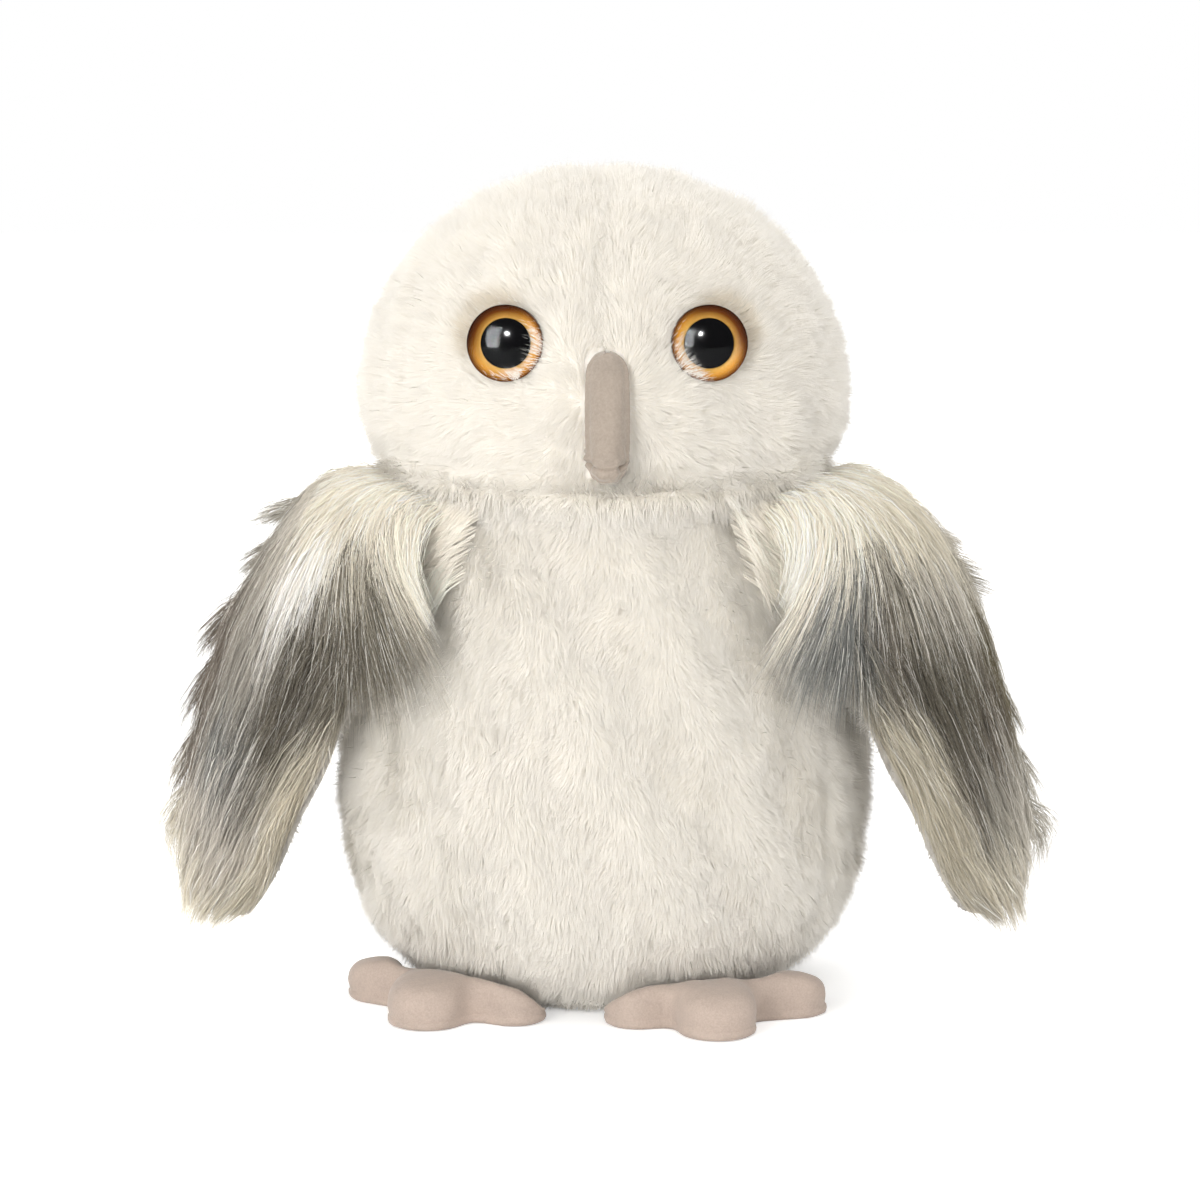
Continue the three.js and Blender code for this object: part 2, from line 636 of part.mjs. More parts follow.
function makeWing(parent, side, name) {
  const curve = wingCurve(side);
  const face = (height) => (u, v) => wingPoint(curve, side, u, v, height(u, v));
  const outer = panelBetween(
    face((u, v) => SEAM_GAP / 2 + wingPile(u, v)),
    face(() => SEAM_GAP / 2),
    WING_COLUMNS,
    WING_ROWS,
  );
  const lining = panelBetween(
    face(() => -SEAM_GAP / 2),
    face(() => -SEAM_GAP / 2 - WING_LINING),
    WING_COLUMNS,
    WING_ROWS,
  );
  piece(parent, `wing_${name}_outer`, outer, frostedPile);
  piece(parent, `wing_${name}_lining`, lining, liningPile);
  piece(parent, `wing_${name}_root_tape`, rootTape(side), cottonTape);
}

// Feet. In a foot's own frame its fold lies on the X axis, it points along -Y, and +X is outwards.

// How far a ray at this angle runs from the palm's middle before it leaves a toe, a capsule from that middle.
function toeExit(angle, toe) {
  const length = Math.hypot(toe.side, toe.reach - PALM_REACH);
  const off = angle - Math.atan2(toe.side, toe.reach - PALM_REACH);
  const [ahead, aside] = [Math.cos(off), Math.abs(Math.sin(off))];
  if (ahead <= 0) return toe.radius;
  if (toe.radius * ahead <= length * aside) return toe.radius / aside;
  return length * ahead + Math.sqrt(toe.radius ** 2 - (length * aside) ** 2);
}

function footOutline(inset) {
  return Array.from({ length: FOOT_COLUMNS }, (_, i) => {
    const angle = (i / FOOT_COLUMNS) * FULL_TURN;
    const exits = [INNER_TOE, MIDDLE_TOE, OUTER_TOE].map((toe) => toeExit(angle, toe));
    const sum = [PALM_RADIUS, ...exits].reduce((total, exit) => total + exit ** TOE_BLEND, 0);
    let reach = sum ** (1 / TOE_BLEND) - inset;
    const rearmost = PALM_REACH + FOOT_REAR_OVERHANG - inset;
    if (-Math.cos(angle) * reach > rearmost) reach = rearmost / -Math.cos(angle);
    return { side: Math.sin(angle) * reach, ahead: PALM_REACH + Math.cos(angle) * reach };
  });
}

const footTop = (ahead) =>
  lerp(FOOT_REAR_HEIGHT, FOOT_HEIGHT, Math.sin(clamp(ahead / FOOT_RAMP, 0, 1) * QUARTER));

// The foot's outer form at an inset, from below the floor up.
function footForm(side, inset) {
  const roundShares = [0, 0.35, 0.7, 1];
  const ring = (edgeInset, height) =>
    footOutline(inset + edgeInset).map((p) => new THREE.Vector3(side * p.side, -p.ahead, height(p)));
  const rings = roundShares.map((share) =>
    ring(
      FOOT_EDGE_ROUND * (1 - Math.cos(share * QUARTER)),
      (p) => footTop(p.ahead) - inset - FOOT_EDGE_ROUND * (1 - Math.sin(share * QUARTER)),
    ),
  );
  return solidThrough([ring(0, () => -CUT_OVERRUN), ...rings]);
}

function belowFootSeam() {
  const reach = OUTER_TOE.side + MIDDLE_TOE.reach + PALM_RADIUS;
  const [bottom, top] = [-2 * CUT_OVERRUN, SOLE_THICKNESS + SEAM_GAP];
  return new THREE.BoxGeometry(2 * reach, 2 * reach, top - bottom).translate(0, 0, (bottom + top) / 2);
}

function footSole(side) {
  const ring = (inset, height) =>
    footOutline(inset).map((p) => new THREE.Vector3(side * p.side, -p.ahead, height));
  return solidThrough([ring(SOLE_EDGE_ROUND, 0), ring(0, SOLE_EDGE_ROUND), ring(0, SOLE_THICKNESS)]);
}

function footFrame(side) {
  const turn = side * degToRad(FOOT_SPLAY) - degToRad(STANCE_TURN);
  const [width, depth] = body.reach(FOOT_REAR_HEIGHT, -FOOT_CLEARANCE);
  const reach = Math.hypot(width * Math.sin(turn), depth * Math.cos(turn));
  const frame = new THREE.Group();
  frame.rotation.z = turn;
  frame.position.set(side * FOOT_SIDE, -reach, 0).applyAxisAngle(new THREE.Vector3(0, 0, 1), turn);
  frame.updateMatrix();
  return frame;
}

// The space of the body and its base, grown by a clearance.
function bodySpace(clearance) {
  const heights = [-CUT_OVERRUN, ...BASE_HEIGHTS, body.bottom];
  return [solidThrough(heights.map((height) => baseRing(height, -clearance))), wholeForm(body, -clearance)];
}

// The tape that the foot hangs on, from the body's underside to just behind the foot.
function footTape() {
  const top = FOOT_REAR_HEIGHT - SEAM_GAP;
  const near = FOOT_REAR_OVERHANG + SEAM_GAP;
  const far = near + BASE_HALF_DEPTH;
  const tape = new THREE.BoxGeometry(FOOT_TAPE_WIDTH, far - near, FOOT_TAPE_THICKNESS);
  return tape.translate(0, (near + far) / 2, top - FOOT_TAPE_THICKNESS / 2);
}

function makeFoot(parent, side, name) {
  const frame = footFrame(side);
  parent.add(frame);
  const intoFrame = frame.matrix.clone().invert();
  const cutters = bodySpace(FOOT_CLEARANCE).map((geometry) => geometry.applyMatrix4(intoFrame));
  const tapeCutters = bodySpace(SEAM_GAP).map((geometry) => geometry.applyMatrix4(intoFrame));
  const aboveSeam = [belowFootSeam(), ...cutters];
  const upper = cutAway(footForm(side, 0), [footForm(side, SUEDE), ...aboveSeam]);
  piece(frame, `foot_${name}_upper`, upper, suede);
  piece(frame, `foot_${name}_sole`, cutAway(footSole(side), cutters), suede);
  piece(frame, `foot_${name}_stuffing`, cutAway(footForm(side, SUEDE + SEAM_GAP), aboveSeam), fibre);
  piece(frame, `foot_${name}_tape`, cutAway(footTape(), tapeCutters), cottonTape);
}

// Threads: a ring in the crease of the neck, and the zigzag that closes the back seam.

// The crease flares less in front and behind than at the sides, so the ring is flattened alike.
function neckThread() {
  const reach = NECK_RADIUS + NECK_THREAD_OUTSET;
  const flare = (BELLY_HALF_DEPTH - NECK_RADIUS) / (BELLY_HALF_WIDTH - NECK_RADIUS);
  const ring = new THREE.TorusGeometry(reach, THREAD_RADIUS, THREAD_SIDES, NECK_THREAD_STEPS);
  ring.scale(1, (NECK_RADIUS + NECK_THREAD_OUTSET * flare) / reach, 1);
  return ring.translate(0, 0, NECK_HEIGHT - THREAD_RADIUS);
}

function closingStitch() {
  const turns = 2 * CLOSING_STITCHES;
  const points = Array.from({ length: turns + 1 }, (_, i) => {
    const height = CLOSING_BOTTOM + (i / turns) * CLOSING_HEIGHT;
    const lift = SEAM_GAP + THREAD_RADIUS;
    const sideways = (i % 2 ? 1 : -1) * CLOSING_HALF_WIDTH;
    const [width, depth] = body.reach(height, -lift);
    return around(Math.PI - sideways / width, [width, depth], height);
  });
  const section = new THREE.Shape().absarc(0, 0, THREAD_RADIUS, 0, FULL_TURN);
  return new THREE.ExtrudeGeometry(section, {
    steps: CLOSING_STITCHES * CLOSING_STEPS_PER_STITCH,
    curveSegments: THREAD_SIDES,
    extrudePath: new THREE.CatmullRomCurve3(points),
  });
}

const owl = new THREE.Group();
makeBody(owl);
makeHead(owl);
makeBeak(owl);
for (const [side, name] of [[1, "left"], [-1, "right"]]) {
  makeEye(owl, side, name);
  makeWing(owl, side, name);
  makeFoot(owl, side, name);
}
piece(owl, "neck_seam_thread", neckThread(), thread);
piece(owl, "closing_stitch", closingStitch(), thread);

export default owl;
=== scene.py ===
# %% [markdown]
# A stuffed owl is sewn from flat pieces of pile cloth, turned right side out and filled. What the eye reads
# as its surface isn't the cloth at all, but the pile: thousands of short fibres that catch the light at
# their tips and hold shade between them. So this lesson sews the skins first, stuffs them with a small
# cloth simulation, and then grows real fibres on them as mesh. The part's own solids are loaded first, and
# everything is placed by them.

import math

import bmesh
import bpy
import numpy as np
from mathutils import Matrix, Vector


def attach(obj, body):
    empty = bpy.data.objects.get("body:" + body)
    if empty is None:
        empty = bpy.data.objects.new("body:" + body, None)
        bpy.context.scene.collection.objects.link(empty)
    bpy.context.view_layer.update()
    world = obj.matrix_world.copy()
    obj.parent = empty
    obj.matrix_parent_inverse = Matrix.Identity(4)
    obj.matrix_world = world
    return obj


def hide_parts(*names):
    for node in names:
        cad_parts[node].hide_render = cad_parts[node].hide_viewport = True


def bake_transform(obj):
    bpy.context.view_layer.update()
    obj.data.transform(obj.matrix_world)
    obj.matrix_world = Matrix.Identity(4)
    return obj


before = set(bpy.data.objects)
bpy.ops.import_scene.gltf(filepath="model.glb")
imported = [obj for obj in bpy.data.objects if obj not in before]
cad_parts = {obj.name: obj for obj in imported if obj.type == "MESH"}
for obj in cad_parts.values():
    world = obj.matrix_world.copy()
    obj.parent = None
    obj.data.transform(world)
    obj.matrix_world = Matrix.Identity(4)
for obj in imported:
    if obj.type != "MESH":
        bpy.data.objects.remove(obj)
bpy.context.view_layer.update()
MM = 0.001

# %% [markdown]
# The camera stands a good arm's length away, a little above the toy's middle, and looks slightly down. A
# long lens at that distance keeps the head from looking swollen, which a short lens close by would do.

# %% Camera
LOOK_DOWN = math.radians(9)
CAMERA_DISTANCE = 950 * MM
LOOK_AT = Vector((-1 * MM, 0, 96 * MM))
LENS = 115.15

camera = bpy.data.objects.new("camera", bpy.data.cameras.new("camera"))
camera.data.lens = LENS
camera.data.clip_start = 10 * MM
back_off = Vector((0, -math.cos(LOOK_DOWN), math.sin(LOOK_DOWN))) * CAMERA_DISTANCE
camera.location = LOOK_AT + back_off
camera.rotation_euler = (math.pi / 2 - LOOK_DOWN, 0, 0)
bpy.context.scene.collection.objects.link(camera)
bpy.context.scene.camera = camera
bpy.context.scene.view_settings.view_transform = "Standard"
print("camera at", [round(c, 3) for c in camera.location])

# %% [markdown]
# A material is a small net of nodes, and the same few come back in nearly every material here: a noise or
# ribs in the toy's own space, which stays put when the toy is turned, two tones that such a texture blends,
# and a bump that it raises. Each gets a helper, so that a material further down says only what is its own.

# %% Helpers for materials
def node_material(name):
    material = bpy.data.materials.new(name)
    material.use_nodes = True
    return material, material.node_tree.nodes, material.node_tree.links


def join(nodes, links, operation, first, second, clamp=False):
    """A Math node of two sockets, or of a socket and a number."""
    node = nodes.new("ShaderNodeMath")
    node.operation = operation
    node.use_clamp = clamp
    for place, value in enumerate((first, second)):
        if isinstance(value, (int, float)):
            node.inputs[place].default_value = value
        else:
            links.new(value, node.inputs[place])
    return node.outputs[0]


def noise_texture(nodes, links, scale, detail):
    """A noise in the toy's own space, with so many blotches to the metre."""
    noise = nodes.new("ShaderNodeTexNoise")
    noise.inputs["Scale"].default_value = scale
    noise.inputs["Detail"].default_value = detail
    links.new(nodes.new("ShaderNodeTexCoord").outputs["Object"], noise.inputs["Vector"])
    return noise


def rib_texture(nodes, links, rib, distortion, way="X"):
    """Ribs that follow each other in one direction, each about so many millimetres wide."""
    ribs = nodes.new("ShaderNodeTexWave")
    ribs.bands_direction = way
    ribs.inputs["Scale"].default_value = 1 / (rib * MM) / math.tau
    ribs.inputs["Distortion"].default_value = distortion
    links.new(nodes.new("ShaderNodeTexCoord").outputs["Object"], ribs.inputs["Vector"])
    return ribs.outputs["Fac"]


def ranged(nodes, links, share, low, high):
    """Turns a share from 0 to 1 into a value from low to high."""
    between = nodes.new("ShaderNodeMapRange")
    between.inputs["To Min"].default_value = low
    between.inputs["To Max"].default_value = high
    links.new(share, between.inputs["Value"])
    return between.outputs["Result"]


def two_tones(nodes, links, share, dark, light):
    """Colours the shader between two tones, by a share from 0 to 1."""
    tones = nodes.new("ShaderNodeMix")
    tones.data_type = "RGBA"
    tones.inputs["A"].default_value = (*dark, 1)
    tones.inputs["B"].default_value = (*light, 1)
    links.new(share, tones.inputs["Factor"])
    links.new(tones.outputs["Result"], nodes["Principled BSDF"].inputs["Base Color"])


def raise_grain(nodes, links, height, strength, relief):
    """Bumps the surface by a height from 0 to 1, where 1 stands for so many millimetres."""
    bump = nodes.new("ShaderNodeBump")
    bump.inputs["Strength"].default_value = strength
    bump.inputs["Distance"].default_value = relief * MM
    links.new(height, bump.inputs["Height"])
    links.new(bump.outputs["Normal"], nodes["Principled BSDF"].inputs["Normal"])
    return bump


# %% [markdown]
# A product photo of a white toy has a white surround, but the toy itself must keep its greys, or the fibres
# would vanish. So the lamps stay moderate, and what is seen of the floor and the surround, directly or in a
# shiny piece, is made white by its own light. The floor still takes the toy's shadow, because only part of
# its white is glow.

# %% Floor
def in_sight(nodes, links):
    """1 for what is seen directly, in a mirror or through a lens, and 0 for what only lights the toy."""
    rays = nodes.new("ShaderNodeLightPath").outputs
    mirrored = join(nodes, links, "ADD", rays["Is Glossy Ray"], rays["Is Transmission Ray"])
    return join(nodes, links, "ADD", rays["Is Camera Ray"], mirrored, clamp=True), rays["Is Camera Ray"]


FLOOR_SIZE, FLOOR_WHITE, FLOOR_GLOW = 6.0, 0.86, 0.42
bpy.ops.mesh.primitive_plane_add(size=FLOOR_SIZE)
floor = bpy.context.object
floor.name = "studio_floor"
floor_paper, nodes, links = node_material("floor_paper")
paper = nodes["Principled BSDF"].inputs
paper["Base Color"].default_value = (FLOOR_WHITE, FLOOR_WHITE, FLOOR_WHITE, 1)
paper["Roughness"].default_value = 0.9
paper["Emission Color"].default_value = (1, 1, 1, 1)
seen, _ = in_sight(nodes, links)
links.new(join(nodes, links, "MULTIPLY", seen, FLOOR_GLOW), paper["Emission Strength"])
floor.data.materials.append(floor_paper)
print("floor:", floor.name, FLOOR_SIZE, "m")

# %% [markdown]
# The surround lights the toy evenly from all sides, and looks white behind it. What the eyes mirror is the
# photographer's side of the room, which is dim, so the surround's mirrored white fades towards that side.
# Otherwise the black pupils would turn grey.

# %% Surround
world = bpy.data.worlds.new("surround")
world.use_nodes = True
bpy.context.scene.world = world
nodes, links = world.node_tree.nodes, world.node_tree.links
sky = nodes["Background"]
SURROUND_LIGHT, MIRRORED_IN_FRONT = 0.88, 0.05
sky.inputs["Color"].default_value = (1, 0.992, 0.98, 1)
sky.inputs["Strength"].default_value = SURROUND_LIGHT
seen, directly = in_sight(nodes, links)
towards = nodes.new("ShaderNodeSeparateXYZ")
links.new(nodes.new("ShaderNodeTexCoord").outputs["Generated"], towards.inputs[0])
behind_toy = nodes.new("ShaderNodeMapRange")
behind_toy.inputs["From Min"].default_value = -0.4
behind_toy.inputs["From Max"].default_value = 0.4
behind_toy.inputs["To Min"].default_value = MIRRORED_IN_FRONT
links.new(towards.outputs["Y"], behind_toy.inputs["Value"])
backdrop = nodes.new("ShaderNodeBackground")
backdrop.inputs["Color"].default_value = (1, 1, 1, 1)
shown = join(nodes, links, "MAXIMUM", directly, behind_toy.outputs["Result"])
links.new(shown, backdrop.inputs["Strength"])
choose = nodes.new("ShaderNodeMixShader")
links.new(seen, choose.inputs[0])
links.new(sky.outputs[0], choose.inputs[1])
links.new(backdrop.outputs[0], choose.inputs[2])
links.new(choose.outputs[0], nodes["World Output"].inputs["Surface"])
print("surround:", world.name)

# %% [markdown]
# Plush is lit from the side, so that each tuft throws a little shade on the next one. The key lamp is a
# softbox high on the viewer's left. A second one stands low beside it and lifts the shade below the head,
# and weaker ones fill from the right, from above and from behind. The eyes of the real toy mirror a window
# and a flash. Two more lamps stand for these: they show in gloss and light nothing else, so their size and
# strength can be set for the glints alone.

# %% Lamps
def softbox(name, place, width, height, power, colour=(1, 1, 1), only_glint=False):
    lamp = bpy.data.objects.new(name, bpy.data.lights.new(name, "AREA"))
    lamp.data.shape = "RECTANGLE"
    lamp.data.size = width
    lamp.data.size_y = height
    lamp.data.energy = power
    lamp.data.color = colour
    lamp.location = place
    lamp.rotation_euler = (TOY_MIDDLE - Vector(place)).to_track_quat("-Z", "Y").to_euler()
    lamp.visible_diffuse = not only_glint
    lamp.visible_glossy = only_glint
    bpy.context.scene.collection.objects.link(lamp)
    return lamp


TOY_MIDDLE = Vector((0, 0, 0.1))
softbox("key_softbox", (-0.56, -1.06, 0.52), 0.45, 0.6, 3.6, (1, 0.97, 0.93))
softbox("fill_softbox", (0.95, -0.75, 0.35), 0.6, 0.8, 1.2)
softbox("top_softbox", (0.1, 0.2, 1.1), 0.8, 0.5, 2.3)
softbox("back_softbox", (-0.45, 1.15, 0.55), 0.7, 0.7, 3.0)
softbox("front_softbox", (-0.5, -1.12, 0.02), 0.4, 0.4, 5.1, (1, 0.985, 0.97))
softbox("window_glint", (-0.66, -1.0, 0.50), 0.55, 0.8, 60, (0.95, 0.97, 1), only_glint=True)
flash = softbox("flash_glint", (-0.12, -1.0, 0.60), 0.13, 0.13, 26, only_glint=True)
flash.data.shape = "DISK"

# %% [markdown]
# Every piece below is worked out as an array of points in millimetres, because arrays let one line move a
# thousand points. This helper turns such points and faces into a Blender mesh in metres.

# %% From points to a mesh
def mesh_object(name, points, faces, material):
    mesh = bpy.data.meshes.new(name)
    mesh.from_pydata((np.asarray(points, float) * MM).tolist(), [], [list(map(int, f)) for f in faces])
    mesh.update()
    piece = bpy.data.objects.new(name, mesh)
    bpy.context.scene.collection.objects.link(piece)
    mesh.materials.append(material)
    mesh.shade_smooth()
    return piece


def grid_faces(columns, rows):
    first = np.arange(columns)[None, :] + (np.arange(rows) * (columns + 1))[:, None]
    first = first.ravel()
    return np.stack([first, first + 1, first + columns + 2, first + columns + 1], 1)


def ring_faces(columns, rows):
    """Faces between rings of points whose last column joins the first."""
    column = np.arange(columns)
    near, far = column, (column + 1) % columns
    faces = [np.stack([near, far, far + columns, near + columns], 1) + row * columns for row in range(rows)]
    return np.concatenate(faces)


def mix(a, b, share):
    return a + (b - a) * share


def smooth_step(share):
    share = np.clip(share, 0, 1)
    return share * share * (3 - 2 * share)


# %% [markdown]
# The body is an egg, cut flat at the floor and at the neck, and the head is a wide dome over tucked-in
# cheeks. Both are stacks of ovals, so one function of height gives each oval's half width and half depth.
# The pile stands on its backing cloth, so the cloth lies a few millimetres inside the toy's outer surface.

# %% The forms of body and head
BASE_HALF, BELLY_HALF = np.array([33, 27]), np.array([66, 53])
BELLY_HEIGHT, NECK_HEIGHT, NECK_RADIUS = 47, 128, 43
CHEEK_HALF, CHEEK_HEIGHT, CROWN_HEIGHT = np.array([59.5, 50]), 146, 202.5
DOME_POWER = 2.1
BACKING_DEPTH = 1.8


def rounded(share):
    return np.sqrt(1 - np.clip(share, 0, 1) ** 2)


def body_reach(height):
    low = np.minimum(height, BELLY_HEIGHT) / BELLY_HEIGHT
    high = (np.maximum(height, BELLY_HEIGHT) - BELLY_HEIGHT) / (NECK_HEIGHT - BELLY_HEIGHT)
    below = mix(BASE_HALF, BELLY_HALF, rounded(1 - low)[..., None])
    above = mix(NECK_RADIUS, BELLY_HALF, rounded(high)[..., None])
    return np.where((height < BELLY_HEIGHT)[..., None], below, above)


def head_reach(height):
    low = (CHEEK_HEIGHT - np.minimum(height, CHEEK_HEIGHT)) / (CHEEK_HEIGHT - NECK_HEIGHT)
    rise = (np.maximum(height, CHEEK_HEIGHT) - CHEEK_HEIGHT) / (CROWN_HEIGHT - CHEEK_HEIGHT)
    dome = (1 - np.clip(rise, 0, 1) ** DOME_POWER) ** (1 / DOME_POWER)
    below = mix(NECK_RADIUS, CHEEK_HALF, rounded(low)[..., None])
    above = CHEEK_HALF * np.maximum(dome, 0.012)[..., None]
    return np.where((height < CHEEK_HEIGHT)[..., None], below, above)


def on_form(reach, turn, height):
    half = reach(height)
    return np.stack([np.sin(turn) * half[..., 0], -np.cos(turn) * half[..., 1], height], -1)


print("half width and depth at the belly:", body_reach(np.array(BELLY_HEIGHT)).round(1), "mm")

# %% [markdown]
# A seam pulls the cloth in, because the stuffing can't push where the thread holds. So each panel is a grid
# whose edges dip, and the simulation further down lets the stuffing swell what lies between. At the neck
# the two coats of pile meet and fill the crease, so there the cloth is let out to a wider circle, which
# also hides the seam's thread.

# %% Sewing a panel
SEAM_DIP, SEAM_WIDTH = 0.9, 3.0
NECK_FILL, NECK_FILL_HEIGHT, NECK_LEVEL = 7.2, 3.4, 0.5


def grid_normals(points):
    """The outward direction at each point of a grid, whose columns run to the owl's left and rows go up."""
    across, up = np.gradient(points, axis=1), np.gradient(points, axis=0)
    normals = np.cross(across, up)
    return normals / np.linalg.norm(normals, axis=-1, keepdims=True)


def sew_panel(name, reach, seams, heights, columns, material, dents):
    rows = len(heights) - 1
    share = np.linspace(0, 1, columns + 1)[None, :]
    height = np.repeat(heights[:, None], columns + 1, 1)
    left, right = seams(height)
    turn = mix(left, right, share)
    outer = on_form(reach, turn, height)
    fill = NECK_FILL * np.exp(-(((height - NECK_HEIGHT) / NECK_FILL_HEIGHT) ** 2))
    outer += fill[..., None] * np.stack([np.sin(turn), -np.cos(turn), 0 * turn], -1)
    from_seam = np.minimum(share, 1 - share) * (right - left) * reach(height).min(-1)
    depth = BACKING_DEPTH + SEAM_DIP * (1 - smooth_step(from_seam / SEAM_WIDTH))
    depth += dents(outer)
    points = outer - grid_normals(outer) * depth[..., None]
    at_neck = np.abs(height - NECK_HEIGHT) < NECK_LEVEL
    points[..., 2] = np.where(at_neck, height, points[..., 2])
    panel = mesh_object(name, points.reshape(-1, 3), grid_faces(columns, rows), material)
    edge = np.ones((rows + 1, columns + 1), bool)
    edge[1:-1, 1:-1] = False
    panel.vertex_groups.new(name="held").add(np.flatnonzero(edge.ravel()).tolist(), 1, "REPLACE")
    return panel


def spaced(low, high, rows):
    """Heights that lie closer together at both ends, where the outline curves most."""
    return mix(low, high, (1 - np.cos(np.linspace(0, np.pi, rows + 1))) / 2)


# %% [markdown]
# The backing cloth is a knit that shows only where the pile parts, so it needs little more than its colour
# and the small ribs of its loops, which are a wave texture.

# %% Backing cloth
def knit_cloth(name, colour, rib=1.1):
    material, nodes, links = node_material(name)
    shader = nodes["Principled BSDF"]
    shader.inputs["Roughness"].default_value = 0.95
    shader.inputs["Specular IOR Level"].default_value = 0.2
    ribs = rib_texture(nodes, links, rib, 2.5)
    two_tones(nodes, links, ribs, [0.94 * c for c in colour], colour)
    raise_grain(nodes, links, ribs, 0.4, relief=0.2)
    return material


white_backing = knit_cloth("white_backing", (0.96, 0.93, 0.87))
print("cloth:", white_backing.name)

# %% [markdown]
# The belly panel is seen most. A dart is sewn into it below the owl's right shoulder, and a shorter one
# below the left: each is a crease that fades out downwards. The creases are drawn as lines from point to
# point, and the cloth sinks towards them.

# %% Body panels
BODY_EDGE_HEIGHT, NECK_GAP, BODY_ROWS = 3.3, 0.2, 34
BELLY_SEAM_TURNS = np.radians([62, 48])
DARTS = [((-36, 128), (-22, 84), 2.6), ((31, 126), (37, 92), 1.3)]
DART_WIDTH = 6.0


def belly_darts(points):
    depth = np.zeros(points.shape[:-1])
    front = points[..., 1] < 0
    for (x0, z0), (x1, z1), dip in DARTS:
        start, run = np.array([x0, z0]), np.array([x1 - x0, z1 - z0])
        along = ((points[..., [0, 2]] - start) @ run) / (run @ run)
        nearest = start + np.clip(along, 0, 1)[..., None] * run
        off = np.linalg.norm(points[..., [0, 2]] - nearest, axis=-1)
        fade = 1 - smooth_step(along)
        depth += front * dip * fade * (1 - smooth_step(off / DART_WIDTH))
    return depth


def belly_seam(height):
    return mix(*BELLY_SEAM_TURNS, np.clip(height / NECK_HEIGHT, 0, 1))


body_heights = spaced(BODY_EDGE_HEIGHT, NECK_HEIGHT - NECK_GAP, BODY_ROWS)
body_panels = {
    "belly_panel": (lambda h: (-belly_seam(h), belly_seam(h)), 36),
    "back_panel_left": (lambda h: (belly_seam(h), np.pi + 0 * h), 34),
    "back_panel_right": (lambda h: (-np.pi + 0 * h, -belly_seam(h)), 34),
}
body_cloth = {}
for name, (seams, columns) in body_panels.items():
    cloth = sew_panel(name + "_cloth", body_reach, seams, body_heights, columns, white_backing, belly_darts)
    body_cloth[name] = cloth
print("body panels:", {n: len(o.data.vertices) for n, o in body_cloth.items()})

# %% [markdown]
# The toy stands on a flat base panel, whose edge turns up a little to meet the others. It is a shallow pan
# of rings. The pellets keep it flat, so it isn't blown up with the rest.

# %% Base panel
BASE_EDGE_HEIGHT, BASE_EDGE_INSET, BASE_FLAT_HEIGHT, BASE_COLUMNS = 3.4, 1.4, 0.3, 120
edge_half = body_reach(np.array(BASE_EDGE_HEIGHT)) - BASE_EDGE_INSET
base_shares = [0, 0.3, 0.55, 0.7, 0.8, 0.88, 0.94, 0.98, 1]
base_rises = [BASE_FLAT_HEIGHT] * 4 + [0.45, 0.9, 1.6, 2.5, BASE_EDGE_HEIGHT]
turn = np.arange(BASE_COLUMNS) / BASE_COLUMNS * math.tau
ring = np.stack([np.cos(turn) * edge_half[0], np.sin(turn) * edge_half[1]], 1)
base_rings = [np.c_[ring * share, np.full(BASE_COLUMNS, rise)]
              for share, rise in zip(base_shares, base_rises)]
base_faces = ring_faces(BASE_COLUMNS, len(base_rings) - 1)
base_cloth = mesh_object("base_panel_cloth", np.concatenate(base_rings), base_faces, white_backing)
print("base panel:", len(base_cloth.data.vertices), "points")

# %% [markdown]
# The head is four panels that meet at the crown. The two face panels meet in a seam that runs up the
# forehead from the beak. Around each eye the cloth is drawn in a little, because the washer behind it pulls
# the eye's rim down into the pile.

# %% Head panels
EYE_SPACING, EYE_HEIGHT, EYE_SEAT, FACE_SHIFT = 47.6, 163.6, 2.0, 0.7
EYE_TURN, EYE_TILT = math.radians(8), math.radians(6)
EYE_DENT, EYE_DENT_RADIUS = 2.0, 14.0


def eye_axis(side):
    turn, forwards = side * EYE_TURN, math.cos(EYE_TILT)
    return np.array([math.sin(turn) * forwards, -math.cos(turn) * forwards, math.sin(EYE_TILT)])


def eye_middle(side):
    height = np.array(EYE_HEIGHT)
    turn = np.arcsin(side * EYE_SPACING / 2 / head_reach(height)[0])
    return on_form(head_reach, turn, height) - EYE_SEAT * eye_axis(side) + [FACE_SHIFT, 0, 0]


EYE_MIDDLES = np.array([eye_middle(side) for side in (1, -1)])


def eye_dents(points):
    depth = np.zeros(points.shape[:-1])
    for middle in EYE_MIDDLES:
        off = np.linalg.norm(points - middle, axis=-1)
        depth += EYE_DENT * (1 - smooth_step(off / EYE_DENT_RADIUS))
    return depth


FACE_SEAM_TURN, HEAD_ROWS, HEAD_COLUMNS = math.radians(80), 36, 30


def upright_seams(left, right):
    return lambda height: (left + 0 * height, right + 0 * height)


head_heights = spaced(NECK_HEIGHT + NECK_GAP, CROWN_HEIGHT, HEAD_ROWS)
head_panels = {
    "face_panel_left": upright_seams(0, FACE_SEAM_TURN),
    "face_panel_right": upright_seams(-FACE_SEAM_TURN, 0),
    "head_back_panel_left": upright_seams(FACE_SEAM_TURN, math.pi),
    "head_back_panel_right": upright_seams(-math.pi, -FACE_SEAM_TURN),
}
head_cloth = {}
for name, seams in head_panels.items():
    cloth = sew_panel(name + "_cloth", head_reach, seams, head_heights, HEAD_COLUMNS, white_backing,
                      eye_dents)
    head_cloth[name] = cloth
print("head panels:", {n: len(o.data.vertices) for n, o in head_cloth.items()})

# %% [markdown]
# Stuffing is blown in until the cloth is tight. A cloth simulation does the same: pressure pushes each
# panel outwards, its held edges stand for the sewn seams, and after a few frames the cloth has found its
# swell. The way that each point moved is capped, so that no panel outgrows the toy.

# %% Stuffing
SWELL_FRAMES, CLOTH_STIFFNESS = 14, 25


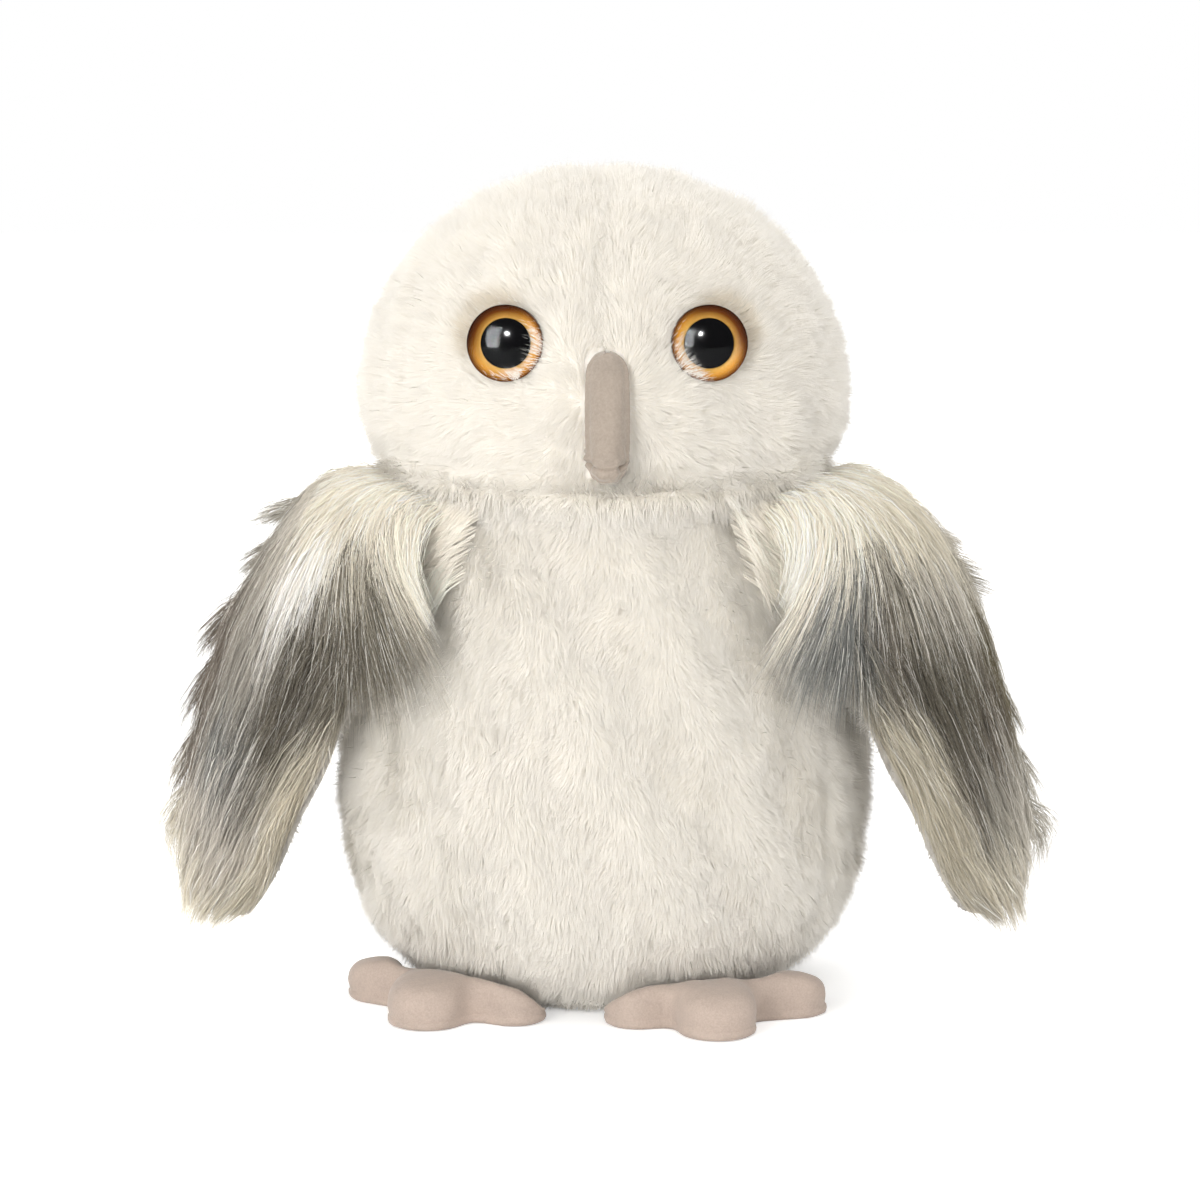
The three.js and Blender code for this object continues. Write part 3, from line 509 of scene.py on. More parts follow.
def points_of(piece):
    points = np.empty(len(piece.data.vertices) * 3, np.float32)
    piece.data.vertices.foreach_get("co", points)
    return points.reshape(-1, 3).astype(float) / MM


def set_points(piece, points):
    piece.data.vertices.foreach_set("co", (points * MM).astype(np.float32).ravel())
    piece.data.update()


def stuff(pieces, pressure, most):
    """Swells the pieces, and caps the way of each point at so many millimetres."""
    resting = {}
    for piece in pieces:
        cloth = piece.modifiers.new("stuffing", "CLOTH")
        cloth.settings.quality = 4
        cloth.settings.use_pressure = True
        cloth.settings.uniform_pressure_force = pressure
        cloth.settings.tension_stiffness = CLOTH_STIFFNESS
        cloth.settings.compression_stiffness = CLOTH_STIFFNESS
        cloth.settings.effector_weights.gravity = 0
        if "held" in piece.vertex_groups:
            cloth.settings.vertex_group_mass = "held"
        cloth.point_cache.frame_end = SWELL_FRAMES
        resting[piece] = points_of(piece)
    for step in range(1, SWELL_FRAMES + 1):
        bpy.context.scene.frame_set(step)
    ready = bpy.context.evaluated_depsgraph_get()
    for piece in pieces:
        moved = points_of(piece.evaluated_get(ready)) - resting[piece]
        reach = np.linalg.norm(moved, axis=1, keepdims=True)
        moved *= np.minimum(1, most / np.maximum(reach, 1e-9))
        set_points(piece, resting[piece] + moved)
        piece.modifiers.remove(piece.modifiers["stuffing"])
        print(f"{piece.name} swelled by up to {np.linalg.norm(moved, axis=1).max():.2f} mm")


stuff([*body_cloth.values(), *head_cloth.values()], pressure=4, most=1.6)

# %% [markdown]
# Filling is never even. It packs into lumps, and they show through the cloth as soft swellings and hollows.
# So each panel gets finer faces first, which also rounds it, and then every point moves in or out by a
# smooth random number: a few waves that run in random directions, once for wide lumps and again for two
# sizes of smaller ones.

# %% Lumps
DRIFT_WAVES = 9
# Height, wavelength and seed.
LUMPS = [(0.35, 14, 3), (0.2, 6.5, 4), (0.08, 3.2, 5)]


def refine(piece, levels):
    """Finer faces on the same rounded form."""
    finer = piece.modifiers.new("finer", "SUBSURF")
    finer.levels = finer.render_levels = levels
    ready = bpy.context.evaluated_depsgraph_get()
    mesh = bpy.data.meshes.new_from_object(piece.evaluated_get(ready))
    piece.modifiers.clear()
    piece.data = mesh


def directions_of(piece):
    directions = np.empty(len(piece.data.vertices) * 3, np.float32)
    piece.data.vertex_normals.foreach_get("vector", directions)
    return directions.reshape(-1, 3).astype(float)


def drift(points, wavelength, seed):
    """A smooth random number at each point, about -1 to 1: a sum of waves that run in random directions."""
    rng = np.random.default_rng(seed)
    ways = rng.normal(size=(DRIFT_WAVES, 3))
    ways *= math.tau / wavelength / np.linalg.norm(ways, axis=1, keepdims=True)
    phases = rng.uniform(0, math.tau, DRIFT_WAVES)
    return np.sin(points @ ways.T + phases).sum(1) / math.sqrt(DRIFT_WAVES)


for piece in [*body_cloth.values(), *head_cloth.values()]:
    refine(piece, 2)
    points = points_of(piece)
    lumps = sum(height * drift(points, wavelength, seed) for height, wavelength, seed in LUMPS)
    set_points(piece, points + directions_of(piece) * lumps[:, None])
    print(f"{piece.name}: {len(points)} points, lumps up to {np.abs(lumps).max():.2f} mm")

# %% [markdown]
# Now the pile. Hair particles would look right, but they are only a display of Blender's own, so here each
# fibre is a narrow strip of mesh: two corners at its root, two wherever it bends, and one at its tip.
# Fibres don't grow at random. They lean the way the cloth was brushed, and they stick together in small
# tufts, so each fibre's tip is drawn towards the middle of the nearest tuft.

# %% Tufts
TUFT_TABLE = 32


def nearest_tuft(points, size, seed):
    """The middle of the tuft that each point belongs to, and a number of its own from 0 to 1."""
    table = np.random.default_rng(seed).random((TUFT_TABLE, TUFT_TABLE, TUFT_TABLE, 4))
    cell = np.floor(points / size).astype(int)
    best = np.full(len(points), np.inf)
    middle, number = np.zeros_like(points), np.zeros(len(points))
    for step in np.ndindex(3, 3, 3):
        neighbour = cell + np.array(step) - 1
        entry = table[tuple((neighbour % TUFT_TABLE).T)]
        place = (neighbour + entry[:, :3]) * size
        off = ((place - points) ** 2).sum(1)
        near = off < best
        best[near], middle[near], number[near] = off[near], place[near], entry[near, 3]
    return middle, number


def scatter(piece, per_square_mm, rng):
    """Random places on a piece's faces, with the cloth's outward direction there."""
    mesh = piece.data
    mesh.calc_loop_triangles()
    corners = np.empty(len(mesh.loop_triangles) * 3, np.int32)
    mesh.loop_triangles.foreach_get("vertices", corners)
    corners = corners.reshape(-1, 3)
    directions = directions_of(piece)
    points = points_of(piece)
    a, b, c = (points[corners[:, k]] for k in range(3))
    area = np.linalg.norm(np.cross(b - a, c - a), axis=1) / 2
    count = int(area.sum() * per_square_mm)
    face = rng.choice(len(area), count, p=area / area.sum())
    weights = np.sort(rng.random((count, 2)), axis=1)
    weights = np.stack([weights[:, 0], weights[:, 1] - weights[:, 0], 1 - weights[:, 1]], 1)[:, :, None]
    places = (points[corners[face]] * weights).sum(1)
    normals = (directions[corners[face]] * weights).sum(1)
    return places, unit(normals)


def unit(vectors):
    return vectors / np.maximum(np.linalg.norm(vectors, axis=-1, keepdims=True), 1e-9)


def along_cloth(ways, normals):
    """The part of each way that lies in the cloth, at length 1."""
    return unit(ways - (ways * normals).sum(1, keepdims=True) * normals)


# %% [markdown]
# A strip needs its own shading. A flat strip is dark or bright by the way it happens to face, but real
# fibres are round and scatter light among each other, so a coat of them is shaded like the soft form below
# it. So each strip shows its front side to the outside, and its normals are turned most of the way towards
# the cloth's own direction. A strip that showed its back would be shaded as if it faced the cloth, and look
# black, which is one more reason to lay the pile flat: a flat strip shows its front from nearly everywhere.

# %% Strips of pile
SOFTEN = 0.78


def strip_mesh(name, spines, widths, sideways, normals, tints, material):
    """One strip along each spine: spines is (fibres, points, 3) and tints is (fibres, points, 3)."""
    fibres, stops, _ = spines.shape
    facing = np.cross(sideways, spines[:, -1] - spines[:, 0])
    outwards = np.sign((facing * normals).sum(1, keepdims=True) + 1e-9)
    sideways, facing = sideways * outwards, unit(facing * outwards)
    half = sideways[:, None, :] * widths[:, :-1, None] / 2
    left, right = spines[:, :-1] - half, spines[:, :-1] + half
    body = np.stack([left, right], 2).reshape(fibres, 2 * (stops - 1), 3)
    points = np.concatenate([body, spines[:, -1:]], 1)
    per_fibre = points.shape[1]
    quads = [[2 * k, 2 * k + 1, 2 * k + 3, 2 * k + 2] for k in range(stops - 2)]
    corners = sum(quads, []) + [2 * (stops - 2), 2 * (stops - 2) + 1, per_fibre - 1]
    sizes = [4] * len(quads) + [3]
    loops = (np.arange(fibres)[:, None] * per_fibre + np.array(corners)).ravel()
    starts = (np.arange(fibres)[:, None] * len(corners) + np.cumsum([0] + sizes[:-1])).ravel()
    mesh = bpy.data.meshes.new(name)
    mesh.vertices.add(fibres * per_fibre)
    mesh.vertices.foreach_set("co", (points * MM).astype(np.float32).ravel())
    mesh.loops.add(len(loops))
    mesh.loops.foreach_set("vertex_index", loops.astype(np.int32))
    mesh.polygons.add(len(starts))
    mesh.polygons.foreach_set("loop_start", starts.astype(np.int32))
    mesh.update(calc_edges=True)
    mesh.shade_smooth()
    soft = unit(mix(facing, normals, SOFTEN))
    bend = soft[:, None, :].repeat(per_fibre, 1).reshape(-1, 3)
    mesh.normals_split_custom_set_from_vertices(bend.tolist())
    spread = np.concatenate([np.repeat(tints[:, :-1], 2, axis=1), tints[:, -1:]], 1).reshape(-1, 3)
    colour = mesh.color_attributes.new("tint", "FLOAT_COLOR", "POINT")
    colour.data.foreach_set("color", np.c_[spread, np.ones(len(spread))].astype(np.float32).ravel())
    lay_out_strips(mesh, fibres, stops)
    mesh.materials.append(material)
    piece = bpy.data.objects.new(name, mesh)
    bpy.context.scene.collection.objects.link(piece)
    return piece


def lay_out_strips(mesh, fibres, stops):
    """A flat layout with a small cell for each strip, so that its colours can be painted into a picture."""
    across = math.ceil(math.sqrt(fibres))
    corner = np.stack(np.divmod(np.arange(fibres), across)[::-1], 1)
    up = np.repeat(np.linspace(0.08, 0.92, stops)[:-1], 2)
    inner = np.stack([np.tile([0.08, 0.92], stops - 1), up], 1)
    cell = np.concatenate([inner, [[0.5, 0.92]]])
    flat = ((corner[:, None, :] + cell) / across).reshape(-1, 2)
    loops = np.empty(len(mesh.loops), np.int32)
    mesh.loops.foreach_get("vertex_index", loops)
    layout = mesh.uv_layers.new(name="OFBake", do_init=False)
    layout.uv.foreach_set("vector", flat[loops].astype(np.float32).ravel())


# %% [markdown]
# One material serves every pile. Its colour comes from the tint that each strip carries from root to tip,
# with a slow change over the cloth as on any dyed fabric, and a little sheen stands for light that grazes
# the fibre ends.

# %% Pile material
def pile_material(name, sheen=0.25, wander=0.05):
    material, nodes, links = node_material(name)
    shader = nodes["Principled BSDF"]
    shader.inputs["Roughness"].default_value = 0.85
    shader.inputs["Specular IOR Level"].default_value = 0.15
    shader.inputs["Sheen Weight"].default_value = sheen
    shader.inputs["Sheen Roughness"].default_value = 0.5
    tint = nodes.new("ShaderNodeAttribute")
    tint.attribute_name = "tint"
    clouds = noise_texture(nodes, links, 60, 2)
    dye = nodes.new("ShaderNodeVectorMath")
    dye.operation = "SCALE"
    links.new(tint.outputs["Color"], dye.inputs[0])
    links.new(ranged(nodes, links, clouds.outputs["Fac"], 1 - wander, 1), dye.inputs["Scale"])
    links.new(dye.outputs["Vector"], shader.inputs["Base Color"])
    return material


white_pile = pile_material("white_pile_fibres")
print("pile:", white_pile.name)

# %% [markdown]
# Short pile covers the head, the body and the base. How long a fibre grows, how far it leans and how light
# it is come from its tuft, with a little chance for each fibre, so a tuft lies as one. A few loose fibres
# lean less and stand out of the coat, and those beside the neck grow longer and fill its crease.

# %% Short pile
PILE_LENGTH, PILE_PER_SQUARE_MM, PILE_WIDTH = 4.8, 8.5, 0.19
TUFT_SIZE, TUFT_PULL, PILE_LEAN, PILE_STRAY = 3.2, 0.22, 1.5, 0.2
CREASE_GROWTH, CREASE_HEIGHT, PILE_SWIRL = 0.5, 3, 0.42
LOOSE_SHARE, LOOSE_LEAN, PILE_ROOT_DEPTH, PILE_OFF_FLOOR = 0.07, 0.5, 0.4, 0.3
# The fibres are painted a little darker at the root than at the tip, as a painted shade deep in the pile.
PILE_SHADED_ROOT_TINT, PILE_TIP_TINT = np.array([0.94, 0.895, 0.80]), np.array([0.965, 0.93, 0.865])


def short_pile(name, cloth, comb, seed, bare=None, length=PILE_LENGTH, density=PILE_PER_SQUARE_MM,
               width=PILE_WIDTH, tints=(PILE_SHADED_ROOT_TINT, PILE_TIP_TINT), material=white_pile, painted_shade=None):
    rng = np.random.default_rng(seed)
    roots, normals = scatter(cloth, density, rng)
    if bare:
        kept = ~bare(roots)
        roots, normals = roots[kept], normals[kept]
    count = len(roots)
    tuft, number = nearest_tuft(roots, TUFT_SIZE, 11)
    brushed = along_cloth(comb(roots), normals)
    swirl = PILE_SWIRL * drift(roots, 24, 12) + 0.6 * PILE_SWIRL * drift(roots, 8, 13)
    brushed = unit(brushed + swirl[:, None] * np.cross(normals, brushed))
    reach = length * (0.9 + 0.14 * number + rng.uniform(-0.1, 0.1, count))[:, None]
    reach *= 1 + CREASE_GROWTH * np.exp(-np.abs(roots[:, 2:] - NECK_HEIGHT) / CREASE_HEIGHT)
    pull = tuft - roots
    pull -= (pull * normals).sum(1, keepdims=True) * normals
    stray = rng.normal(0, PILE_STRAY, (count, 3))
    lean = np.where(rng.random(count) < LOOSE_SHARE, LOOSE_LEAN, PILE_LEAN)
    lean *= mix(0.8, 1.15, (number * 5.7) % 1)
    tip = roots + reach * unit(normals + lean[:, None] * brushed + stray) + TUFT_PULL * pull
    spines = np.stack([roots - PILE_ROOT_DEPTH * normals, tip], 1)
    spines[..., 2] = np.maximum(spines[..., 2], PILE_OFF_FLOOR)
    widths = width * np.array([1, 0]) * rng.uniform(0.8, 1.2, (count, 1))
    sideways = unit(np.cross(unit(tip - roots), normals + rng.normal(0, 0.08, (count, 3))))
    tone = (0.97 + 0.04 * number + rng.normal(0, 0.02, count))[:, None, None]
    dye = np.clip(np.stack(tints)[None] * tone, 0, 0.985)
    # A painted shade, where one is given, darkens the fibres by their place.
    if painted_shade:
        dye *= painted_shade(roots)[:, None, :]
    piece = strip_mesh(name, spines, widths, sideways, normals, dye, material)
    print(f"{name}: {count} fibres")
    return piece


# %% [markdown]
# How a coat lies is a function of the place. On the body the fibres are brushed downwards, and on the head
# they run away from the beak. None grow where an eye or the beak sits, and what grows beside them leans
# over their edges, as on the real toy. Beside an eye's upper and outer rim a shade is painted into the
# pile.

# %% Brushed, bare and rubbed places
def brushed_down(points):
    """Downwards, but outwards on the underside of the head, so that pile hangs over the neck's crease."""
    above_neck = points[:, 2] - NECK_HEIGHT
    under = smooth_step((above_neck - 1) / 4) * (1 - smooth_step((above_neck - 6) / 6))
    outwards = unit(points * [1, 1, 0] + [0, 1e-6, 0])
    return mix(np.array([0.0, 0.0, -1.0]), outwards, under[:, None])


BEAK_MIDDLE = np.array([0, -54, 150])


def brushed_from_beak(points):
    away = unit(points - BEAK_MIDDLE)
    near = np.exp(-np.linalg.norm(points - BEAK_MIDDLE, axis=1) / 45)[:, None]
    hanging = (1 - smooth_step((points[:, 2] - NECK_HEIGHT - 4) / 8))[:, None]
    return mix(away + (1 - near) * np.array([0, 0.2, -0.35]), brushed_down(points), hanging)


EYE_BARE_RADIUS, BEAK_BARE_HALF, BEAK_BARE_HEIGHTS = 8.6, 4.6, (133, 161)


def under_eyes_or_beak(points):
    bare = np.zeros(len(points), bool)
    for middle in EYE_MIDDLES:
        bare |= np.linalg.norm(points - middle, axis=1) < EYE_BARE_RADIUS
    low, high = BEAK_BARE_HEIGHTS
    beside = (np.abs(points[:, 0]) < BEAK_BARE_HALF) & (points[:, 1] < 0)
    return bare | (beside & (points[:, 2] > low) & (points[:, 2] < high))


# A brownish shade is painted into the pile beside each eye's upper and outer rim.
BROW_SIDE, BROW_PAINTED_SHADE = 0.66, np.array([0.82, 0.77, 0.69])
PAINTED_SHADE_RADIUS, PAINTED_SHADE_WIDTH = 8.8, 1.9


def painted_brow_shade(points):
    """Painted shade: the pile that meets an eye's upper and outer rim is darkened a little brown."""
    dye = np.ones_like(points)
    for side, middle in zip((1, -1), EYE_MIDDLES):
        off = (points - middle)[:, [0, 2]]
        radius = np.linalg.norm(off, axis=1)
        towards_brow = (0.75 * off[:, 1] + BROW_SIDE * side * off[:, 0]) / np.maximum(radius, 1e-6)
        at_rim = np.exp(-(((radius - PAINTED_SHADE_RADIUS) / PAINTED_SHADE_WIDTH) ** 2))
        amount = at_rim * smooth_step((towards_brow + 0.15) / 0.9)
        dye *= mix(1, BROW_PAINTED_SHADE, (amount * (points[:, 1] < 0))[:, None])
    return dye


def brushed_outwards(points):
    return points * [1, 1, 0] + [1e-6, 0, 0]


# %% [markdown]
# Every panel of cloth gets a coat of its own, from a random seed of its own, so each run grows the same
# fibres. The base stands on the floor, so its pile is shorter and thinner.

# %% A coat for each panel
base_pile = short_pile("base_panel_pile", base_cloth, brushed_outwards, 90, length=3.4, density=6)
piles = {"base_panel": base_pile}
for number, (name, cloth) in enumerate(body_cloth.items()):
    piles[name] = short_pile(name + "_pile", cloth, brushed_down, 100 + number)
for number, (name, cloth) in enumerate(head_cloth.items()):
    piles[name] = short_pile(name + "_pile", cloth, brushed_from_beak, 200 + number, under_eyes_or_beak,
                             painted_shade=painted_brow_shade)

# %% [markdown]
# The eyes are safety eyes, which come in standard sizes; these are 18 mm. Each is a clear dome on an amber
# bowl with a black disc in its middle, and a post that goes through the cloth into a washer. All of that is
# turned on a lathe, so a profile and an axis are enough. The bowl's wall does part of the shading by
# itself: its lower side faces the lamps and glows.

# %% Turned pieces
EYE_COLUMNS, POLE_GAP = 72, 0.01
SHARP_EDGE = math.radians(38)


def frame_along(axis):
    """Directions at right angles, as the columns of a matrix: sideways, up, and along the axis."""
    axis = unit(np.asarray(axis, float))
    sideways = unit(np.cross([0, 0, 1], axis))
    return np.stack([sideways, np.cross(axis, sideways), axis], 1)


def close_poles(piece):
    """Joins the points that lie together at a pole."""
    form = bmesh.new()
    form.from_mesh(piece.data)
    bmesh.ops.remove_doubles(form, verts=form.verts, dist=POLE_GAP * MM)
    form.to_mesh(piece.data)
    form.free()


def turned_piece(name, profile, origin, axis, material):
    profile = np.asarray(profile, float)
    turn = np.arange(EYE_COLUMNS) / EYE_COLUMNS * math.tau
    circle = np.stack([np.cos(turn), np.sin(turn)], 1)
    rings = profile[:, None, :1] * circle[None]
    heights = np.broadcast_to(profile[:, None, 1:], rings.shape[:2] + (1,))
    points = np.concatenate([rings, heights], 2).reshape(-1, 3) @ frame_along(axis).T + origin
    piece = mesh_object(name, points, ring_faces(EYE_COLUMNS, len(profile) - 1), material)
    close_poles(piece)
    piece.data.set_sharp_from_angle(angle=SHARP_EDGE)
    return piece


# %% [markdown]
# The dome is clear plastic. What shows of clear plastic is mostly the gloss of its outer face, so the dome
# is made as that face alone: it lets light straight through and adds a faint mirror. That keeps the amber
# below it bright, while a true glass would cast a full shadow on it. What lies behind the dome has next to
# no gloss of its own, or each lamp would show twice. The amber is paint, so it is grainy. It darkens
# towards the rim, and towards the brow a shade is painted into it, where the pile would shade it.

# %% Eye materials
LENS_ROUGHNESS = (0.1, 0.14)


def clear_plastic(name, gloss):
    material, nodes, links = node_material(name)
    shader = nodes["Principled BSDF"]
    shader.inputs["Metallic"].default_value = 1
    shader.inputs["Base Color"].default_value = (1, 1, 1, 1)
    scuffs = noise_texture(nodes, links, 450, 4)
    rubbed = ranged(nodes, links, scuffs.outputs["Fac"], *LENS_ROUGHNESS)
    links.new(rubbed, shader.inputs["Roughness"])
    straight = nodes.new("ShaderNodeBsdfTransparent")
    both = nodes.new("ShaderNodeMixShader")
    both.inputs["Fac"].default_value = gloss
    links.new(straight.outputs[0], both.inputs[1])
    links.new(shader.outputs[0], both.inputs[2])
    links.new(both.outputs[0], nodes["Material Output"].inputs["Surface"])
    return material


def grained_plastic(name, dark, light, grain_mm, roughness, relief=0.05, specular=0.4):
    material, nodes, links = node_material(name)
    shader = nodes["Principled BSDF"]
    shader.inputs["Specular IOR Level"].default_value = specular
    grain = noise_texture(nodes, links, 1 / (grain_mm * MM), 5).outputs["Fac"]
    two_tones(nodes, links, grain, dark, light)
    worn = ranged(nodes, links, grain, roughness * 0.8, roughness * 1.2)
    links.new(worn, shader.inputs["Roughness"])
    raise_grain(nodes, links, grain, 0.3, relief)
    return material


def amber_paint(name):
    material = grained_plastic(name, (0.62, 0.62, 0.62), (1, 1, 1), 0.5, 0.35, specular=0.03)
    nodes, links = material.node_tree.nodes, material.node_tree.links
    tint = nodes.new("ShaderNodeAttribute")
    tint.attribute_name = "tint"
    dye = nodes.new("ShaderNodeMix")
    dye.data_type = "RGBA"
    dye.blend_type = "MULTIPLY"
    dye.inputs["Factor"].default_value = 1
    links.new(nodes["Mix"].outputs["Result"], dye.inputs["A"])
    links.new(tint.outputs["Color"], dye.inputs["B"])
    links.new(dye.outputs["Result"], nodes["Principled BSDF"].inputs["Base Color"])
    return material


lens_plastic = clear_plastic("lens_plastic", gloss=0.008)
pupil_plastic = grained_plastic("pupil_plastic", (0.002, 0.002, 0.002), (0.005, 0.005, 0.006), 0.6, 0.3,
                                relief=0.01, specular=0)
iris_paint = amber_paint("iris_paint")
print("eye materials:", lens_plastic.name, pupil_plastic.name, iris_paint.name)

# %% [markdown]
# Profiles are pairs of radius and height over the cloth. The eyes look nearly straight ahead although the
# head curves away, so their outer edges sink into the pile and their inner edges stand out of it.

# %% Eyes
IRIS_PROFILE = [(0, -12), (2.4, -12), (2.4, 0.3), (8.9, 0.3), (9, 0.45), (9, 3.1), (8.85, 3.2),
                (8.55, 2.75), (7.6, 1.95), (6.6, 1.45), (6.0, 1.3), (0, 1.3)]
PUPIL_PROFILE = [(0, 1.6), (5.8, 1.6), (5.9, 1.7), (5.9, 2.0), (5.8, 2.1), (0, 2.12)]
LENS_EDGE = [(8.85, 2.9), (8.95, 3.0)]
LENS_RIM, LENS_TOP, EYE_RADIUS = 3.45, 8.8, 9.0
BROW_SHADE, BROW_SHADE_RADIUS, BROW_SHADE_RUN = np.array([0.19, 0.11, 0.06]), 5.7, 1.6
AMBER_STOPS = [5.9, 6.7, 7.6, 8.4, 9.0]
AMBER_TINTS = np.array([[0.93, 0.53, 0.12], [0.92, 0.50, 0.10], [0.80, 0.36, 0.05], [0.34, 0.12, 0.02],
                        [0.10, 0.035, 0.01]])


def set_tint(piece, colours):
    colour = piece.data.color_attributes.new("tint", "FLOAT_COLOR", "POINT")
    colour.data.foreach_set("color", np.c_[colours, np.ones(len(colours))].astype(np.float32).ravel())


lens_rise = np.radians(np.linspace(0, 90, 19))
lens_dome = np.stack([EYE_RADIUS * np.cos(lens_rise), mix(LENS_RIM, LENS_TOP, np.sin(lens_rise))], 1)
for side, name in ((1, "left"), (-1, "right")):
    axis, seat = eye_axis(side), eye_middle(side)
    iris = turned_piece(f"eye_{name}_iris_paint", IRIS_PROFILE, seat, axis, iris_paint)
    off = (points_of(iris) - seat) @ frame_along(axis)
    radius = np.hypot(off[:, 0], off[:, 1])
    # Painted shade: the amber darkens towards the brow and the outer side, where the pile would shade it.
    towards_brow = (off[:, 1] * 0.95 + side * off[:, 0] * BROW_SIDE) / np.maximum(radius, 1e-6)
    outside_pupil = smooth_step((radius - BROW_SHADE_RADIUS) / BROW_SHADE_RUN)
    shaded = smooth_step((towards_brow + 0.25) / 1.2) * outside_pupil
    amber = np.stack([np.interp(radius, AMBER_STOPS, AMBER_TINTS[:, k]) for k in range(3)], 1)
    set_tint(iris, amber * mix(1, BROW_SHADE, shaded[:, None]))
    pupil = turned_piece(f"eye_{name}_pupil_disc", PUPIL_PROFILE, seat, axis, pupil_plastic)
    profile = np.concatenate([LENS_EDGE, lens_dome])
    lens = turned_piece(f"eye_{name}_lens_dome", profile, seat, axis, lens_plastic)
    for piece, node, slot in ((iris, "iris", "eye_amber"), (pupil, "pupil", "eye_black"),
                              (lens, "lens", "eye_clear")):
        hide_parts(f"eye_{name}_{node}")
        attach(piece, "head")
    print(f"{name} eye at", seat.round(1))

# %% [markdown]
# Suede is leather with its flesh side out. Up close it is a very short nap with soft darker and lighter
# clouds where fingers have brushed it, and it rubs paler where it is proud, which is not drawn here. Two
# noises do the rest: a coarse one for the clouds and a fine one for the nap, which also gives the bump.

# %% Suede
def suede_cloth(name, colour, shade=0.8, cloud_mm=7, nap_mm=0.45):
    material, nodes, links = node_material(name)
    shader = nodes["Principled BSDF"]
    shader.inputs["Roughness"].default_value = 0.92
    shader.inputs["Specular IOR Level"].default_value = 0.15
    shader.inputs["Sheen Weight"].default_value = 0.3
    shader.inputs["Sheen Roughness"].default_value = 0.45
    clouds = noise_texture(nodes, links, 1 / (cloud_mm * MM), 3)
    nap = noise_texture(nodes, links, 1 / (nap_mm * MM), 6)
    for noise in (clouds, nap):
        noise.inputs["Roughness"].default_value = 0.65
    together = nodes.new("ShaderNodeMix")
    together.inputs["Factor"].default_value = 0.6
    links.new(clouds.outputs["Fac"], together.inputs["A"])
    links.new(nap.outputs["Fac"], together.inputs["B"])
    tones = nodes.new("ShaderNodeValToRGB")
    tones.color_ramp.elements[0].position = 0.34
    tones.color_ramp.elements[0].color = (*(shade * c for c in colour), 1)
    tones.color_ramp.elements[1].position = 0.64
    tones.color_ramp.elements[1].color = (*(min(1.06 * c, 1) for c in colour), 1)
    links.new(together.outputs["Result"], tones.inputs["Fac"])
    links.new(tones.outputs["Color"], shader.inputs["Base Color"])
    raise_grain(nodes, links, nap.outputs["Fac"], 0.5, relief=0.15)
    return material


beak_suede = suede_cloth("beak_suede", (0.37, 0.31, 0.255), nap_mm=0.6)
foot_suede = suede_cloth("foot_suede", (0.49, 0.395, 0.335), shade=0.82)
print("suede:", beak_suede.name, foot_suede.name)

# %% [markdown]
# The beak is a strip of suede with both long edges sewn to a second piece behind, so its seams stand up as
# two thin ridges. It hooks forwards and down, and at the lower end the strip is turned under, which creases
# it. Its outline comes from a few rings, and a smooth curve through them gives as many as the ridges need.

# %% Beak
BEAK_TOP, BEAK_LENGTH, BEAK_HALF_WIDTH, BEAK_REACH, BEAK_BACK = 162, 30, 5.2, 10.5, -43
# Shares of the length from the top, of the reach to the front, and of the half width.
BEAK_RINGS = np.array([
    [0, 0, 0.1], [0.01, 0.05, 0.34], [0.035, 0.12, 0.58], [0.08, 0.24, 0.8],
    [0.16, 0.42, 0.95], [0.35, 0.62, 1], [0.56, 0.8, 1], [0.74, 0.93, 0.97],
    [0.86, 1, 0.88], [0.93, 0.98, 0.72], [0.98, 0.78, 0.55], [1, 0.5, 0.42],
])
BEAK_SEAM_HEIGHT, BEAK_SEAM_CURVE = 136, 2.4
RIDGE_TURN, RIDGE_WIDTH, RIDGE_HEIGHT = 1.0, 0.11, 0.75
FOLD_HEIGHT, FOLD_AWAY, GROOVE_DEPTH, GROOVE_WIDTH = 0.3, 0.9, 0.5, 0.4
CREASE_DEPTH, CREASE_WAVE, CREASE_FADE, GRAIN_DEPTH, GRAIN_WAVE = 0.32, 3.2, 7, 0.06, 2.1


def curve_through(knots, place):
    """A smooth curve through rows of numbers. A place of 2.5 is halfway from the third row to the next."""
    ends = np.concatenate([2 * knots[:1] - knots[1:2], knots, 2 * knots[-1:] - knots[-2:-1]])
    first = np.clip(place.astype(int), 0, len(knots) - 2)
    s = (place - first)[..., None]
    a, b, c, d = (ends[first + k] for k in range(4))
    return 0.5 * (2 * b + (c - a) * s + (2 * a - 5 * b + 4 * c - d) * s**2 + (3 * b - a - 3 * c + d) * s**3)


def beak_points(place, turn):
    fall, reach, width = np.moveaxis(curve_through(BEAK_RINGS, place), -1, 0)
    wide, deep = (np.sign(w) * np.abs(w) ** (2 / 3) for w in (np.sin(turn), np.maximum(np.cos(turn), 0)))
    front = -(CHEEK_HALF[1] + reach * BEAK_REACH)
    on_ridge = np.exp(-(((np.abs(turn) - RIDGE_TURN) / RIDGE_WIDTH) ** 2))
    ridge = RIDGE_HEIGHT * on_ridge * np.minimum(1, width * 1.1)
    x = FACE_SHIFT + width * BEAK_HALF_WIDTH * wide + ridge * np.sin(turn)
    y = mix(BEAK_BACK, front, deep) - ridge * np.cos(turn)
    return np.stack([x, y, BEAK_TOP - fall * BEAK_LENGTH], -1)


